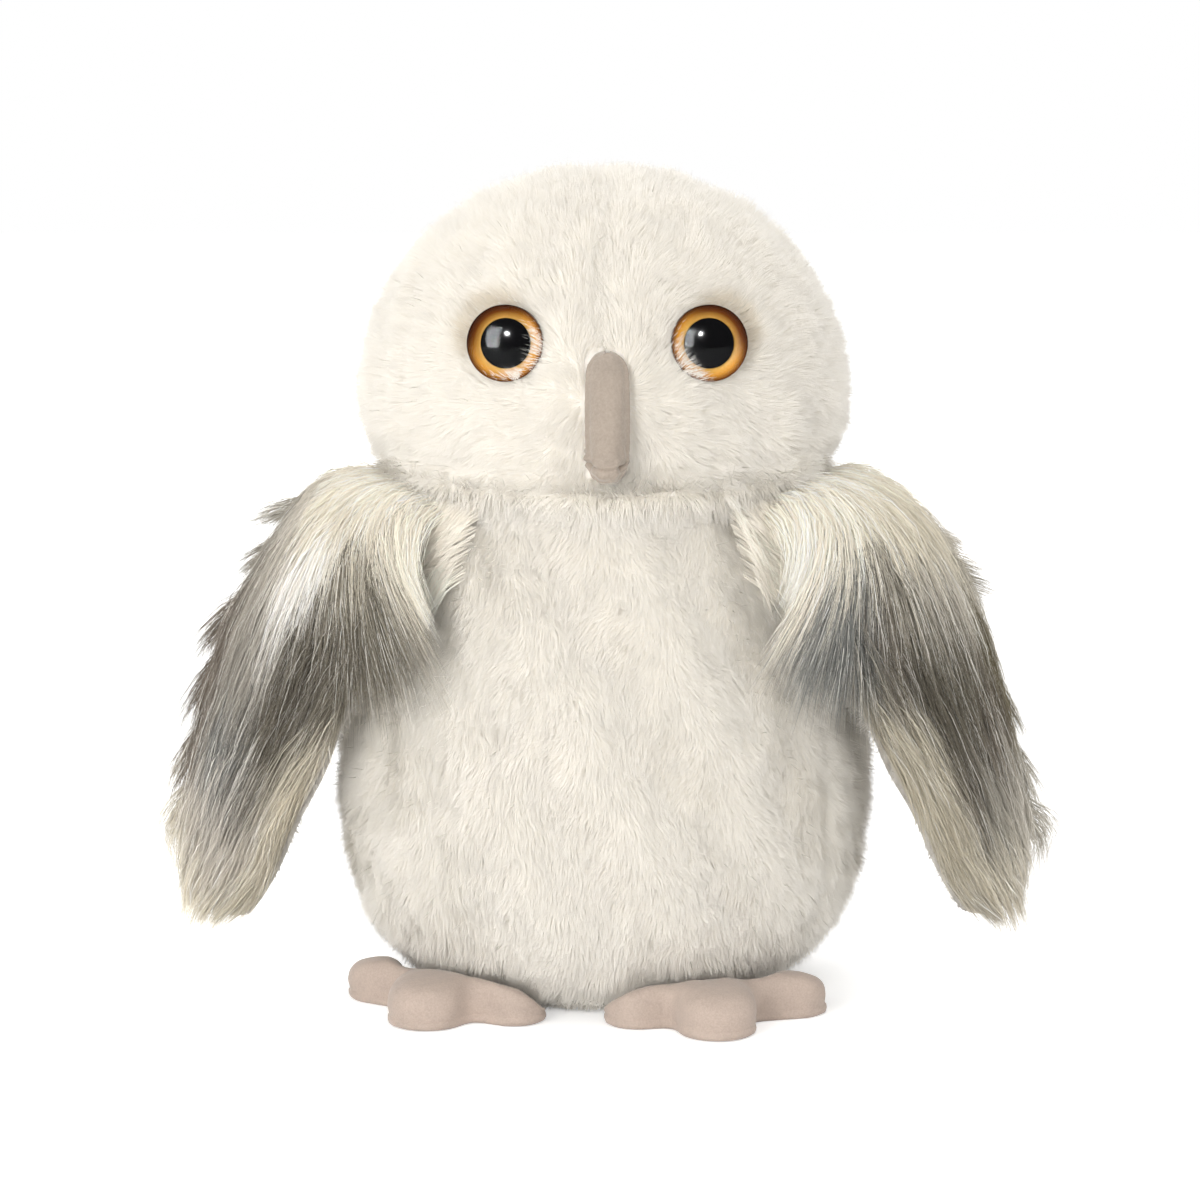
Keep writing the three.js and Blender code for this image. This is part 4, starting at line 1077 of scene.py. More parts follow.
def beak_panel(name, from_top, rows, columns=72):
    turn = np.linspace(-math.pi / 2, math.pi / 2, columns + 1)[None, :]
    seam = BEAK_SEAM_HEIGHT + BEAK_SEAM_CURVE * (turn / (math.pi / 2)) ** 2
    table = np.linspace(0, len(BEAK_RINGS) - 1, 400)
    seam_place = np.interp((BEAK_TOP - seam) / BEAK_LENGTH, curve_through(BEAK_RINGS, table)[:, 0], table)
    share = np.linspace(0, 1, rows + 1)[:, None]
    place = seam_place * share if from_top else mix(seam_place, len(BEAK_RINGS) - 1.0, share)
    turn = np.broadcast_to(turn, place.shape)
    points = beak_points(place, turn)
    away = np.abs(points[..., 2] - seam)
    fold = FOLD_HEIGHT * np.exp(-((away - FOLD_AWAY) ** 2))
    fold -= GROOVE_DEPTH * np.exp(-((away / GROOVE_WIDTH) ** 2))
    flat = points.reshape(-1, 3)
    low = 1 - smooth_step((flat[:, 2] - BEAK_SEAM_HEIGHT) / CREASE_FADE)
    crease = CREASE_DEPTH * low * drift(flat * [1, 1, 1.6], CREASE_WAVE, 21)
    crease += GRAIN_DEPTH * drift(flat, GRAIN_WAVE, 22)
    lift = fold.reshape(-1) + crease
    outwards = np.stack([np.sin(turn).ravel(), -np.cos(turn).ravel(), np.zeros(len(flat))], 1)
    flat = flat + lift[:, None] * outwards
    return mesh_object(name, flat, grid_faces(columns, rows)[:, ::-1], beak_suede)


beak_front = beak_panel("beak_front_suede", True, 90)
beak_under = beak_panel("beak_under_suede", False, 26)
for piece, node in ((beak_front, "beak_front_panel"), (beak_under, "beak_under_panel")):
    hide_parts(node)
    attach(piece, "head")
print("beak faces:", len(beak_front.data.polygons) + len(beak_under.data.polygons))

# %% [markdown]
# Each foot is a suede upper and a suede sole with three stuffed toes, sewn along an edge close to the
# floor. The outline is the largest of three toe capsules and a round palm, taken along rays from the palm's
# middle, and the upper is a dome over it. The foot ducks under the body, so its height is kept below the
# body's side.

# %% The outline of a foot
FOOT_SPLAY, STANCE_TURN, FOOT_SIDE, FOOT_CLEARANCE = math.radians(23), math.radians(9), 14, 3.4
FOOT_HEIGHT, FOOT_REAR_HEIGHT, FOOT_RAMP, FOOT_REAR_OVERHANG, TOE_RISE = 11.6, 3.8, 11, 1, 5.5
PALM_RADIUS, PALM_REACH, TOE_BLEND = 12.5, 3, 7
TOES = [(-17.4, 2.8, 7.3), (-0.5, 16.2, 9.3), (23.5, 2.8, 7)]
FOOT_SEAM_HEIGHT, FOOT_FOLD_HEIGHT, FOOT_COLUMNS = 2.35, 3.4, 168
BODY_CLEARANCE, OUT_OF_THE_WAY = 2.2, 99


def toe_exit(angle, side, ahead, radius):
    """How far a ray from the palm's middle runs before it leaves a toe."""
    length = math.hypot(side, ahead - PALM_REACH)
    off = angle - math.atan2(side, ahead - PALM_REACH)
    forward, aside = np.cos(off), np.abs(np.sin(off))
    flank = radius / np.maximum(aside, 1e-6)
    end = length * forward + np.sqrt(np.maximum(radius**2 - (length * aside) ** 2, 0))
    leaves = np.where(radius * forward <= length * aside, flank, end)
    return np.where(forward <= 0, radius, leaves)


def foot_reach(angle):
    exits = [np.full_like(angle, PALM_RADIUS)] + [toe_exit(angle, *toe) for toe in TOES]
    reach = sum(e**TOE_BLEND for e in exits) ** (1 / TOE_BLEND)
    rear = PALM_REACH + FOOT_REAR_OVERHANG
    return np.where(-np.cos(angle) * reach > rear, rear / np.maximum(-np.cos(angle), 1e-6), reach)


def foot_place(side):
    turn = side * FOOT_SPLAY - STANCE_TURN
    width, depth = body_reach(np.array(FOOT_FOLD_HEIGHT)) + FOOT_CLEARANCE
    cos, sin = math.cos(turn), math.sin(turn)
    reach = math.hypot(width * sin, depth * cos)
    turned = np.array([[cos, -sin, 0], [sin, cos, 0], [0, 0, 1]])
    return turned, turned @ np.array([side * FOOT_SIDE, -reach, 0])


def room_under_body(points, clearance):
    """The height at which a point's own upright line meets the body's side, less a clearance."""
    heights = np.linspace(0, BELLY_HEIGHT, 95)
    half = body_reach(heights) + clearance
    inside = (points[:, None, 0] / half[:, 0]) ** 2 + (points[:, None, 1] / half[:, 1]) ** 2 < 1
    first = np.argmax(inside, axis=1)
    return np.where(inside.any(1), heights[first], OUT_OF_THE_WAY)


print("reach of the middle toe:", foot_reach(np.zeros(1)).round(1), "mm")

# %% [markdown]
# The upper starts at the seam, bulges a little over it and closes at the top. The sole is a shallow pan
# that curls up to meet it. Both are rings, and each ring is the foot's outline, made smaller and laid
# higher.

# %% Foot panels
SOLE_HEIGHT = 0.05


def foot_panel(name, side, rings, material, upwards):
    """Rings are rows of (share of the reach, inset in mm, height by the distances ahead and aside)."""
    angle = np.arange(FOOT_COLUMNS) / FOOT_COLUMNS * math.tau
    reach = foot_reach(angle)
    turned, origin = foot_place(side)
    rows = []
    for share, inset, height in rings:
        out = np.maximum(reach * share - inset, 0)
        ahead = PALM_REACH + np.cos(angle) * out
        aside = np.sin(angle) * out
        rows.append(np.stack([side * aside, -ahead, height(ahead, aside)], 1))
    points = np.concatenate(rows) @ turned.T + origin
    ceiling = room_under_body(points, BODY_CLEARANCE)
    points[:, 2] = np.maximum(np.minimum(points[:, 2], ceiling), SOLE_HEIGHT)
    faces = ring_faces(FOOT_COLUMNS, len(rings) - 1)
    foot = mesh_object(name, points, faces if (side > 0) == upwards else faces[:, ::-1], material)
    foot.vertex_groups.new(name="held").add(list(range(FOOT_COLUMNS)), 1, "REPLACE")
    return foot


def foot_top(ahead, aside):
    """The outer toe sticks out from under the body, so it may be tall nearly from its rear edge on."""
    ahead = ahead + TOE_RISE * smooth_step((aside - 13) / 7)
    return mix(FOOT_REAR_HEIGHT, FOOT_HEIGHT, np.sin(np.clip(ahead / FOOT_RAMP, 0, 1) * math.pi / 2))


def upper_ring(climb):
    across, up = max(math.cos(climb), 0) ** 0.5, math.sin(climb) ** 0.55
    tuck = 0.4 * math.exp(-((up * 5.5) ** 2))
    return across, tuck, lambda ahead, aside: mix(FOOT_SEAM_HEIGHT, foot_top(ahead, aside), up)


def level(height):
    return lambda ahead, aside: height + 0 * ahead


climbs = np.linspace(0, math.pi / 2, 26) ** 1.15 / (math.pi / 2) ** 0.15
upper_rings = [upper_ring(climb) for climb in climbs]
sole_rings = [
    (1, 0.4, level(FOOT_SEAM_HEIGHT)), (1, 0.1, level(1.9)), (1, 0, level(1.2)), (1, 0.3, level(0.5)),
    (1, 1.1, level(0.1)), (0.8, 1, level(SOLE_HEIGHT)), (0.4, 0.5, level(SOLE_HEIGHT)),
    (0, 0, level(SOLE_HEIGHT)),
]
print("rings of an upper and of a sole:", len(upper_rings), len(sole_rings))

# %% [markdown]
# Now both feet are made, and stuffing swells their uppers in the cloth simulation. The seam then gets its
# puckers, because the thread gathers the suede in small even steps, and the rest gets shallow worn places.
# The seam itself and the flat of the sole stay where they are.

# %% Feet
SEAM_REACH, SEAM_HELD, FOOT_OFF_FLOOR = 0.9, 0.35, 0.3
PUCKER_HEIGHT, PUCKER_WAVE = 0.16, 2.6
feet = {}
for side, name in ((1, "left"), (-1, "right")):
    feet[f"foot_{name}_upper"] = foot_panel(f"foot_{name}_upper_suede", side, upper_rings, foot_suede, True)
    feet[f"foot_{name}_sole"] = foot_panel(f"foot_{name}_sole_suede", side, sole_rings, foot_suede, False)
stuff([feet["foot_left_upper"], feet["foot_right_upper"]], pressure=3, most=0.8)
for name, foot in feet.items():
    points = points_of(foot)
    near_seam = np.exp(-(((points[:, 2] - FOOT_SEAM_HEIGHT) / SEAM_REACH) ** 2))
    puckers = PUCKER_HEIGHT * near_seam * drift(points * [1, 1, 0.3], PUCKER_WAVE, 31)
    worn = 0.12 * drift(points, 9, 32) + 0.05 * drift(points, 3, 33)
    off_seam = smooth_step(np.abs(points[:, 2] - FOOT_SEAM_HEIGHT) / SEAM_HELD)
    lift = np.where(points[:, 2] > FOOT_OFF_FLOOR, puckers + worn, 0) * off_seam
    points += directions_of(foot) * lift[:, None]
    set_points(foot, points)
    close_poles(foot)
    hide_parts(name)
    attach(foot, name.rsplit("_", 1)[0])
print("feet:", {n: len(o.data.polygons) for n, o in feet.items()})

# %% [markdown]
# A wing is two cloths sewn together at their edges: long frosted pile outside, short pile as a lining. It
# hangs from the shoulder like a sleeve, so its middle line is one smooth curve from the root out over the
# shoulder and down to the tip. Places on it are given by two shares: across, from the front edge to the
# back edge, and along, from the root to the tip. Past an edge the same formulas run on, which is where the
# long pile hangs.

# %% The form of a wing
WING_ROOT_HEIGHT, WING_ROOT_PLACE, WING_TAPE = 123, math.radians(73), 2
WING_LEANS = np.radians([21, 50])
SHOULDER_REACH, SHOULDER_RISE = 30, 3
WING_KNEE, WING_TIP = np.array([79, -26, 66]), np.array([98, -8, 20])
WING_CHORDS, WIDEST_SHARE, WING_BOW = (44, 57, 18), 0.4, 6
FRONT_TAPER, BACK_TAPER = {1: 0.27, -1: 0.22}, {1: 0, -1: 0.09}
WING_COLUMNS, WING_ROWS, WAVE_HEIGHT, WAVE_LENGTH = 40, 80, 0.5, 22
OUTER_HEIGHT, LINING_HEIGHT = 0.9, -1.0


def wing_curve(side):
    root = on_form(body_reach, np.array(side * WING_ROOT_PLACE), np.array(float(WING_ROOT_HEIGHT)))
    outwards = np.array([side * math.cos(WING_LEANS[0]), -math.sin(WING_LEANS[0]), 0])
    root = root + outwards * WING_TAPE
    crest = root + outwards * SHOULDER_REACH + [0, 0, SHOULDER_RISE]
    return root, crest, WING_KNEE * [side, 1, 1], WING_TIP * [side, 1, 1]


def wing_station(side, along):
    """The middle line's place, direction and speed, and the directions across the wing and out of it."""
    a, b, c, d = wing_curve(side)
    t = np.clip(along, 0, 1)[..., None]
    middle = (1 - t) ** 3 * a + 3 * (1 - t) ** 2 * t * b + 3 * (1 - t) * t**2 * c + t**3 * d
    speed = 3 * ((1 - t) ** 2 * (b - a) + 2 * (1 - t) * t * (c - b) + t**2 * (d - c))
    middle = middle + speed * (along[..., None] - t)
    way = unit(speed)
    lean = mix(*WING_LEANS, t[..., 0])
    across = np.stack([-side * np.sin(lean), -np.cos(lean), 0 * lean], -1)
    across = unit(across - (across * way).sum(-1, keepdims=True) * way)
    return middle, way, np.linalg.norm(speed, axis=-1), across, unit(np.cross(across, way)) * side


def wing_chord(along):
    root, widest, tip = WING_CHORDS
    past = np.clip((along - WIDEST_SHARE) / (1 - WIDEST_SHARE), 0, 1)
    narrow = mix(tip, widest, np.sqrt(1 - past**2))
    return np.where(along < WIDEST_SHARE, mix(root, widest, smooth_step(along / WIDEST_SHARE)), narrow)


def wing_point(side, across_share, along, height):
    middle, _, _, across, out = wing_station(side, along)
    bow = WING_BOW * smooth_step(along / WIDEST_SHARE) * (2 * np.clip(across_share, 0, 1) - 1) ** 2
    taper = FRONT_TAPER[side] * smooth_step((along - 0.45) / 0.4) * np.clip(1 - across_share, 0, 1) ** 2
    taper -= BACK_TAPER[side] * np.exp(-(((along - 0.32) / 0.16) ** 2)) * np.clip(across_share, 0, 1) ** 2
    forward = ((0.5 - across_share - taper) * wing_chord(along))[..., None]
    return middle + across * forward + out * (height - bow)[..., None]


def wing_cloth(name, side, height, material, outwards):
    shares = np.linspace(0, 1, WING_COLUMNS + 1), np.linspace(0, 1, WING_ROWS + 1)
    across_share, along = np.meshgrid(*shares)
    laid_flat = np.stack([across_share * 50, along * 150, 0 * along], -1).reshape(-1, 3)
    waves = WAVE_HEIGHT * drift(laid_flat, WAVE_LENGTH, 41)
    points = wing_point(side, across_share, along, height + waves.reshape(along.shape))
    faces = grid_faces(WING_COLUMNS, WING_ROWS)
    if (side > 0) == outwards:
        faces = faces[:, ::-1]
    return mesh_object(name, points.reshape(-1, 3), faces, material)


frosted_backing = knit_cloth("frosted_backing", (0.60, 0.56, 0.48))
lining_backing = knit_cloth("lining_backing", (0.62, 0.59, 0.54))
wing_cloths = {}
for side, name in ((1, "left"), (-1, "right")):
    outer = wing_cloth(f"wing_{name}_outer_cloth", side, OUTER_HEIGHT, frosted_backing, True)
    lining = wing_cloth(f"wing_{name}_lining_cloth", side, LINING_HEIGHT, lining_backing, False)
    wing_cloths[name] = (outer, lining)
print("wing length:", round(float(wing_station(1, np.linspace(0, 1, 50))[2].mean()), 1), "mm")

# %% [markdown]
# The pile of a real owl's wing cloth is printed in soft bands, and each lock shows the colour of the place
# where it lies. So the pattern is a short list of named patches on the wing, each with its place, its
# spread and its dye, and a point's colour is what the patches near it blend to. The two wings are cut from
# different places of the cloth, so each has a list of its own.

# %% The wings' pattern
DYES = {
    "cream": (0.95, 0.875, 0.74), "white": (0.96, 0.92, 0.84), "straw": (0.74, 0.68, 0.545),
    "pale": (0.53, 0.49, 0.425), "grey": (0.34, 0.315, 0.265), "slate": (0.175, 0.18, 0.17),
    "dark": (0.13, 0.112, 0.078), "umber": (0.155, 0.125, 0.092), "olive": (0.15, 0.125, 0.068),
}
# Across share, along share, spread across, spread along, weight, dye.
PATCHES = {
    "right": [
        (-0.25, 0.03, 0.35, 0.12, 5, "cream"), (0.35, 0.04, 0.5, 0.10, 5, "cream"),
        (0.15, 0.18, 0.15, 0.06, 4, "straw"), (0.45, 0.18, 0.12, 0.06, 4, "straw"),
        (-0.20, 0.20, 0.10, 0.05, 4, "dark"), (-0.05, 0.30, 0.12, 0.07, 6, "dark"),
        (0.08, 0.41, 0.13, 0.08, 6, "dark"), (0.17, 0.53, 0.13, 0.08, 6, "dark"),
        (0.26, 0.65, 0.13, 0.06, 6, "dark"), (0.28, 0.28, 0.07, 0.07, 5, "white"),
        (0.42, 0.38, 0.07, 0.07, 4, "white"), (-0.45, 0.30, 0.20, 0.14, 6, "pale"),
        (-0.24, 0.46, 0.10, 0.10, 6, "pale"), (-0.12, 0.60, 0.08, 0.10, 4, "straw"),
        (0.75, 0.20, 0.16, 0.08, 5, "pale"), (1.0, 0.14, 0.16, 0.08, 4, "grey"),
        (1.0, 0.30, 0.16, 0.09, 5, "grey"), (0.62, 0.48, 0.13, 0.11, 6, "grey"),
        (1.0, 0.53, 0.16, 0.11, 8, "umber"), (0.97, 0.70, 0.13, 0.09, 5, "umber"),
        (0.54, 0.70, 0.16, 0.05, 6, "slate"), (0.5, 0.86, 0.3, 0.08, 5, "pale"),
        (0.02, 0.77, 0.09, 0.12, 4, "straw"), (0.5, 1.04, 0.7, 0.12, 3, "straw"),
    ],
    "left": [
        (-0.3, 0.08, 0.35, 0.10, 5, "cream"), (0.3, 0.04, 0.6, 0.12, 5, "cream"),
        (0.5, 0.18, 0.3, 0.07, 5, "straw"), (0.75, 0.26, 0.2, 0.08, 5, "straw"),
        (1.05, 0.34, 0.14, 0.09, 4, "pale"), (0.6, 0.37, 0.2, 0.06, 4, "pale"),
        (-0.04, 0.39, 0.13, 0.09, 9, "slate"), (0.12, 0.45, 0.08, 0.10, 6, "umber"),
        (0.28, 0.51, 0.12, 0.09, 8, "dark"), (0.48, 0.56, 0.18, 0.09, 9, "dark"),
        (0.97, 0.60, 0.12, 0.14, 6, "olive"), (0.75, 0.66, 0.16, 0.07, 7, "umber"),
        (-0.05, 0.63, 0.12, 0.09, 9, "straw"), (0.10, 0.70, 0.10, 0.10, 6, "straw"),
        (-0.38, 0.28, 0.16, 0.12, 6, "pale"), (-0.27, 0.46, 0.10, 0.10, 5, "pale"),
        (0.30, 0.77, 0.12, 0.05, 4, "umber"), (0.10, 0.83, 0.12, 0.10, 3, "straw"),
        (0.55, 0.80, 0.2, 0.06, 4, "grey"), (0.85, 0.84, 0.2, 0.10, 3, "pale"),
        (0.4, 0.95, 0.4, 0.08, 3, "straw"), (0.5, 1.06, 0.6, 0.10, 4, "pale"),
    ],
}
BETWEEN_PATCHES = 0.05


def pattern(name, across_share, along):
    total, weights = np.zeros(across_share.shape + (3,)), np.full(across_share.shape, BETWEEN_PATCHES)
    total += BETWEEN_PATCHES * np.array(DYES["grey"])
    for u, v, spread_u, spread_v, weight, dye in PATCHES[name]:
        near = weight * np.exp(-(((across_share - u) / spread_u) ** 2) - ((along - v) / spread_v) ** 2)
        total += near[..., None] * np.array(DYES[dye])
        weights += near
    return total / weights[..., None]


print("patches:", {name: len(patches) for name, patches in PATCHES.items()})

# %% [markdown]
# Two coats lie on a wing: a dense one, and over it a thinner one of finer and longer guard hairs. A few
# cowlicks are brushed out sideways, so that the outline isn't even. The dye is looked up where a fibre's
# middle lies, with a little scatter for each lock and each fibre, and some fibres stay undyed. A shade is
# painted along each fibre, darker at the root and paler at the tip.

# %% Coats, cowlicks and dyes
LONG_STOPS = np.array([0, 0.22, 0.48, 0.75, 1.0])
LONG_TAPER = np.array([1, 1, 0.85, 0.5, 0])
ROOTS_ALONG = (-0.13, 0.93)
WING_SPREAD, WING_LENGTH, UNDYED_SHARE = 52, 150, 0.12
EDGE_FALL, EDGE_SHARE, FRONT_SAG, LONG_OFF_FLOOR = 40, 0.04, 0.25, 1.5
# Fibres, their width, the size of their locks, and their growth.
COATS = {"long": (28000, 0.22, 4.0, 1.0), "guard": (14000, 0.15, 2.6, 1.12)}
# Across share, along share, how far across and along its fibres run, and its spread along.
COWLICKS = {
    "right": [
        (0.98, 0.17, 0.42, 0.16, 0.035), (0.92, 0.28, 0.24, 0.16, 0.03), (0.95, 0.44, 0.23, 0.19, 0.045),
        (0.97, 0.57, 0.20, 0.20, 0.03), (0.97, 0.72, 0.24, 0.18, 0.03), (0.95, 0.84, 0.36, 0.16, 0.03),
        (0.1, 0.72, -0.08, 0.16, 0.03),
    ],
    "left": [
        (0.78, 0.35, 0.42, 0.13, 0.06), (0.9, 0.27, 0.26, 0.12, 0.03), (0.97, 0.62, 0.14, 0.17, 0.03),
        (0.98, 0.76, 0.24, 0.16, 0.03), (0.95, 0.87, 0.62, 0.15, 0.03), (0.05, 0.62, -0.12, 0.20, 0.03),
        (0.12, 0.75, -0.06, 0.18, 0.03),
    ],
}
frosted_pile = pile_material("frosted_pile_fibres", sheen=0.15, wander=0.12)


def brush_cowlicks(name, u, v, veer, drop, lift, rng):
    """The fibres near a cowlick run its way, each by its own length, and stand off more."""
    for at_u, at_v, run_u, run_v, spread in COWLICKS[name]:
        near = np.exp(-(((u - at_u) / 0.08) ** 2) - ((v - at_v) / spread) ** 2) > 0.45
        wisp = rng.uniform(0.35, 1.1, len(u))
        veer = np.where(near, run_u * wisp, veer)
        drop = np.where(near, run_v * mix(0.6, 1, wisp), drop)
        lift = np.where(near, 4.0 + rng.normal(0, 0.8, len(u)), lift)
    return veer, drop, lift


def dyed_and_shaded_tints(name, u, v, rooted, own, own_b, rng):
    """Tints from root to tip, by where fibres' middles lie and, for their painted shade, where roots lie.
    """
    count = len(u)
    u_dye = u + 0.05 * (own_b - 0.5) + rng.normal(0, 0.025, count)
    v_dye = v + 0.10 * (own - 0.5) + rng.normal(0, 0.03, count)
    dye = pattern(name, u_dye, v_dye)
    undyed = (rng.random(count) < UNDYED_SHARE)[:, None]
    dye = np.where(undyed, mix(dye, np.array(DYES["white"]), 0.75), dye)
    dye *= (mix(0.9, 1.14, own_b) * rng.uniform(0.82, 1.2, count))[:, None]
    # Painted shade: each fibre darkens towards its root, less near the wing's root, and its tip is painted
    # paler.
    painted_root_shade = mix(0.95, 0.78, smooth_step(rooted / 0.3))[:, None]
    shade = mix(painted_root_shade, 1.12, LONG_STOPS[None, :])[:, :, None]
    return np.clip(dye[:, None, :] * shade, 0.01, 0.96)


# %% [markdown]
# Long pile hangs in locks. Every fibre belongs to a lock, whose middle draws its tip in, and the lock
# decides how long it grows, how far it stands off, and which way it strays, so the outline breaks up into
# points. At the front edge of the shoulder the fibres run over the edge and fall, and there they face the
# front. Guard hairs are so thin that they let most light past, so their coat throws no shadow.

# %% Long pile
def long_pile(name, coat, side, seed):
    fibres, thickness, lock_size, growth = COATS[coat]
    rng = np.random.default_rng(seed)
    u, v = rng.random(2 * fibres), rng.uniform(*ROOTS_ALONG, 2 * fibres)
    kept = rng.random(2 * fibres) < wing_chord(v) / 60 * mix(1, 0.75, smooth_step((v - 0.2) / 0.5))
    u, v = u[kept][:fibres], v[kept][:fibres]
    count = len(u)
    on_wing = np.stack([u * WING_SPREAD, v * WING_LENGTH, 0 * u], 1)
    lock, own = nearest_tuft(on_wing, lock_size, seed)
    lock_u, lock_v = lock[:, 0] / WING_SPREAD, lock[:, 1] / WING_LENGTH
    own_b, own_c = (own * 7.31) % 1, (own * 13.7) % 1
    length = mix(24, 36, smooth_step(v / 0.2)) * mix(1, 0.78, v) * mix(0.75, 1.15, own)
    length *= rng.uniform(0.75, 1.1, count)
    inner = np.clip(1 - u / 0.3, 0, 1) * smooth_step((v - 0.02) / 0.16) * (1 - smooth_step((v - 0.5) / 0.3))
    length *= growth * mix(1, 0.6, inner) * (1 - 0.38 * smooth_step((v - 0.66) / 0.27))
    _, _, speed, _, out = wing_station(side, v)
    front = np.clip(1 - u / 0.34, 0, 1) * (1 - smooth_step((v - 0.2) / 0.2))
    back = np.clip((u - 0.72) / 0.28, 0, 1)
    veer = 0.12 * (own_c - 0.5) - 0.3 * front - 0.05 * back * (v < 0.5) + rng.normal(0, 0.028, count)
    drop = length / speed
    pressed = 0.75 * np.clip(1 - u / 0.16, 0, 1) * (v < 0.3)
    lift = mix(1.5, 5.0, own_c) * (1 - pressed) + rng.normal(0, 0.8, count)
    veer, drop, lift = brush_cowlicks(name, u, v, veer, drop, lift, rng)
    s = LONG_STOPS[None, :]
    gather = mix(0.6, 0.9, own_b)[:, None] * s**1.3
    u_path = u[:, None] + (lock_u - u)[:, None] * gather + veer[:, None] * s**1.2
    v_path = v[:, None] + (lock_v - v)[:, None] * gather * 0.5 + drop[:, None] * s
    stand = lift[:, None] * np.sin(s * 2.3)
    height = np.maximum(OUTER_HEIGHT + stand + rng.normal(0, 0.7, (count, 1)) * s, OUTER_HEIGHT)
    height -= EDGE_FALL * np.maximum(-EDGE_SHARE - u_path, 0) * (v_path < 0.75)
    spines = wing_point(side, u_path, v_path, height)
    spines[..., 2] -= (length * front)[:, None] * FRONT_SAG * s**2
    spines[..., 2] = np.maximum(spines[..., 2], LONG_OFF_FLOOR)
    tints = dyed_and_shaded_tints(name, u_path[:, 2], v_path[:, 2], v, own, own_b, rng)
    way = spines[:, -1] - spines[:, 0]
    to_front = np.maximum(smooth_step((0.4 - v) / 0.34), front)[:, None]
    tilt = unit(out + to_front * np.array([0, -1.3, 0]) + rng.normal(0, 0.18, (count, 3)))
    sideways = unit(np.cross(unit(way), tilt))
    widths = thickness * LONG_TAPER * rng.uniform(0.7, 1.25, (count, 1))
    piece = strip_mesh(f"wing_{name}_{coat}_pile", spines, widths, sideways, tilt, tints, frosted_pile)
    piece.visible_shadow = coat == "long"
    print(f"{piece.name}: {count} fibres")
    return piece


# %% [markdown]
# At the shoulder the wing's root seam is hidden by its own cream pile, which also falls over the front of
# the body. These fibres follow the body's side downwards and outwards, so they are drawn on the body's
# form. They stand off most beside the root, where they lie over the wing's front edge, and behind the wing
# they are as white as the body.

# %% Shoulder pile
SHOULDER_COUNT, SHOULDER_LOCK = 17000, 4.5
SHOULDER_TURNS, SHOULDER_HEIGHTS = (34, 112), (107, 127.3)
# A shade is painted along each fibre: darker at the root, paler at the tip.
SHOULDER_PAINTED_SHADES = np.array([0.9, 0.97, 1.0, 1.02, 1.04])
MM_PER_DEGREE = 0.85


def shoulder_pile(name, side, seed):
    rng = np.random.default_rng(seed)
    turn = np.radians(rng.uniform(*SHOULDER_TURNS, SHOULDER_COUNT))
    height = rng.uniform(*SHOULDER_HEIGHTS, SHOULDER_COUNT)
    inner = smooth_step((np.radians(52) - turn) / np.radians(16))
    rear = smooth_step((turn - np.radians(76)) / np.radians(24))
    upper = mix(0.6, 1, (height - SHOULDER_HEIGHTS[0]) / 20)
    kept = rng.random(SHOULDER_COUNT) < (1 - 0.7 * inner) * (1 - 0.45 * rear) * upper
    turn, height, inner, rear = turn[kept], height[kept], inner[kept], rear[kept]
    count = len(turn)
    laid_flat = np.stack([np.degrees(turn) * MM_PER_DEGREE, height, 0 * turn], 1)
    lock, own = nearest_tuft(laid_flat, SHOULDER_LOCK, seed)
    lock_turn = np.radians(lock[:, 0] / MM_PER_DEGREE)
    length = mix(22, 38, own) * mix(1, 0.55, inner) * rng.uniform(0.6, 1.1, count)
    s = LONG_STOPS[None, :]
    swing = np.radians(mix(14, 8, inner) + 8 * ((own * 7.31) % 1 - 0.5) + rng.normal(0, 1.5, count))
    turn_path = turn[:, None] + (lock_turn - turn)[:, None] * 0.6 * s + swing[:, None] * s
    fall = height[:, None] - length[:, None] * s * mix(0.55, 1, s)
    form = on_form(body_reach, side * turn_path, fall)
    outward = unit(form * [1, 1, 0] + [0, 0, 1e-6])
    near_root = np.exp(-(((np.degrees(turn) - 60) / 14) ** 2))
    lift = mix(3.0, 5.5, (own * 13.7) % 1) * mix(1.3, 0.6, inner) + 9.0 * near_root
    rise = np.sin(np.minimum(s * 3.2, 1) * math.pi / 2) * (1 - 0.5 * s)
    spines = form + outward * (0.3 + lift[:, None] * rise)[..., None]
    dye = mix(np.array(DYES["cream"]), PILE_TIP_TINT, np.maximum(0.4 * inner, rear)[:, None])
    dye *= (mix(0.94, 1.06, own) * rng.uniform(0.94, 1.04, count))[:, None]
    tilt = unit(outward[:, 2] + [0, -0.7, 0.3] + rng.normal(0, 0.2, (count, 3)))
    way = spines[:, -1] - spines[:, 0]
    sideways = unit(np.cross(unit(way), tilt))
    widths = 0.2 * LONG_TAPER * rng.uniform(0.7, 1.25, (count, 1))
    tints = np.clip(dye[:, None, :] * SHOULDER_PAINTED_SHADES[None, :, None], 0, 0.93)
    piece = strip_mesh(f"shoulder_{name}_pile", spines, widths, sideways, tilt, tints, frosted_pile)
    piece.visible_shadow = False
    print(f"{piece.name}: {count} fibres")
    return piece


# %% [markdown]
# The lining's pile is short and plain.

# %% Wings on their bodies
lining_pile = pile_material("lining_pile_fibres", sheen=0.15)
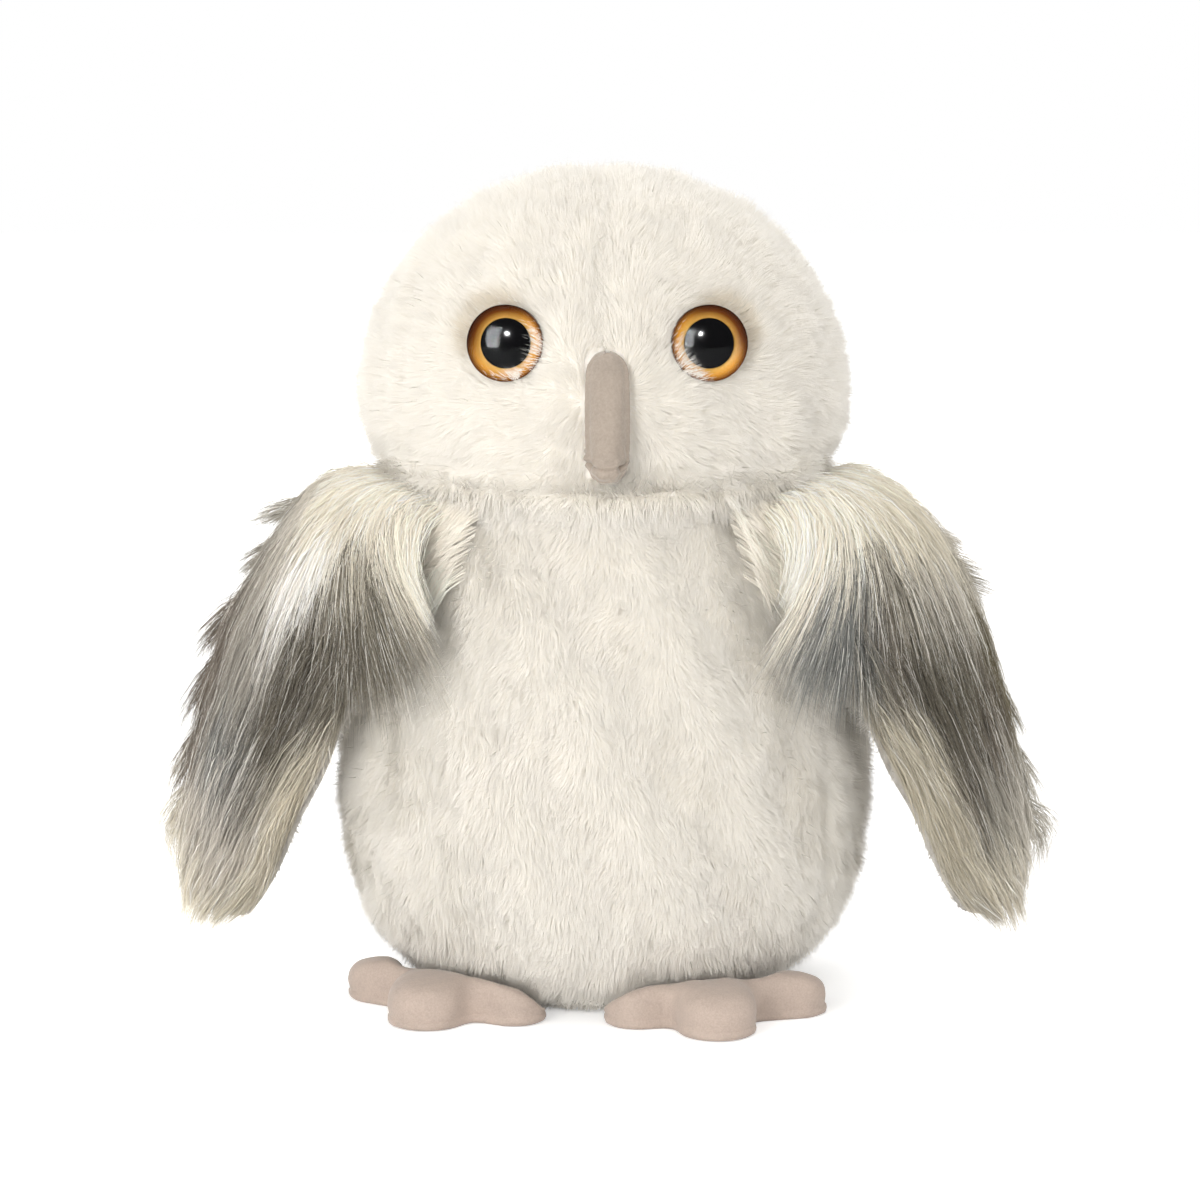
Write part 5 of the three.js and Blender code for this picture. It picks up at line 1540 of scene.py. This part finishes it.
# The lining's fibres are painted darker at the root, as a painted shade deep in its pile.
LINING_SHADED_TINTS = (np.array([0.55, 0.52, 0.47]), np.array([0.66, 0.63, 0.58]))
for side, name in ((1, "left"), (-1, "right")):
    outer, lining = wing_cloths[name]
    locks = [long_pile(name, coat, side, seed + side) for coat, seed in (("long", 300), ("guard", 310))]
    short = short_pile(f"wing_{name}_lining_pile", lining, brushed_down, 320 + side, length=3.4,
                       density=2.2, width=0.34, tints=LINING_SHADED_TINTS, material=lining_pile)
    mane = shoulder_pile(name, side, 340 + side)
    root = wing_curve(side)[0]
    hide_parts(f"wing_{name}_outer")
    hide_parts(f"wing_{name}_lining")
    for piece in (outer, *locks, lining, short):
        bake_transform(piece)
    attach(mane, "body")

# %% [markdown]
# Each cloth stands for the solid panel of the same name, and its pile goes with it. Body panels ride on the
# body, and head panels on the head, which turns at the neck.

# %% Body and head on their bodies
body_cloth["base_panel"] = base_cloth
for name in body_cloth:
    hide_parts(name)
for name in head_cloth:
    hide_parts(name)
for name, cloth in {**body_cloth, **head_cloth}.items():
    home = "body" if name in body_cloth else "head"
    for piece in (cloth, piles[name]):
        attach(piece, home)

# %% [markdown]
# What lies inside stays as the solids that were loaded: the fillings, the pellets in their pouch, the tapes
# that the wings and feet hang on, the threads and the washers behind the eyes. They need no new form, only
# the look of what they are. Woven cloth is two sets of ribs that cross, pellets are the cells of a Voronoi
# texture with a shade painted into the gaps between them, and combed fibre, thread and moulded plastic are
# a noise with the right grain.

# %% Inner materials
def woven_cloth(name, colour, thread_mm):
    material, nodes, links = node_material(name)
    nodes["Principled BSDF"].inputs["Roughness"].default_value = 0.9
    ribs = [rib_texture(nodes, links, thread_mm, 0.6, way) for way in ("X", "Z")]
    weave = join(nodes, links, "MAXIMUM", *ribs)
    two_tones(nodes, links, weave, [0.7 * c for c in colour], colour)
    raise_grain(nodes, links, weave, 0.6, relief=0.15)
    return material


def pellet_plastic(name, colour, pellet_mm=3):
    material, nodes, links = node_material(name)
    nodes["Principled BSDF"].inputs["Roughness"].default_value = 0.45
    cells = nodes.new("ShaderNodeTexVoronoi")
    cells.inputs["Scale"].default_value = 1 / (pellet_mm * MM)
    links.new(nodes.new("ShaderNodeTexCoord").outputs["Object"], cells.inputs["Vector"])
    from_middle = cells.outputs["Distance"]
    # Painted shade: each pellet darkens towards its edge, where the gaps between pellets lie in shade.
    two_tones(nodes, links, from_middle, colour, [0.45 * c for c in colour])
    bump = raise_grain(nodes, links, from_middle, 1, relief=0.8)
    bump.invert = True
    return material


fibre_filling = grained_plastic("fibre_filling", (0.72, 0.72, 0.71), (0.9, 0.9, 0.89), 1.6, 0.8, 0.6)
sewing_thread = grained_plastic("sewing_thread", (0.80, 0.76, 0.66), (0.93, 0.90, 0.81), 0.35, 0.7, 0.08)
washer_plastic = grained_plastic("washer_plastic", (0.62, 0.62, 0.60), (0.80, 0.80, 0.78), 0.8, 0.4)
# Painted shade: the tape is darkened to the tone of the shaded pile around the wing's root, where it shows.
cotton_tape = woven_cloth("cotton_tape", (0.46, 0.43, 0.38), 0.5)
pouch_cotton = woven_cloth("pouch_cotton", (0.80, 0.78, 0.72), 0.4)
pellets = pellet_plastic("pellet_plastic", (0.74, 0.76, 0.78))
looks = {"stuffing": fibre_filling, "pellet": pellets, "sheet": pouch_cotton, "tape": cotton_tape,
         "thread": sewing_thread, "stitch": sewing_thread, "washer": washer_plastic}
for name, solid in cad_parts.items():
    for word, look in looks.items():
        if word in name:
            solid.data.materials.clear()
            solid.data.materials.append(look)
            print(f"{name}: {look.name}")
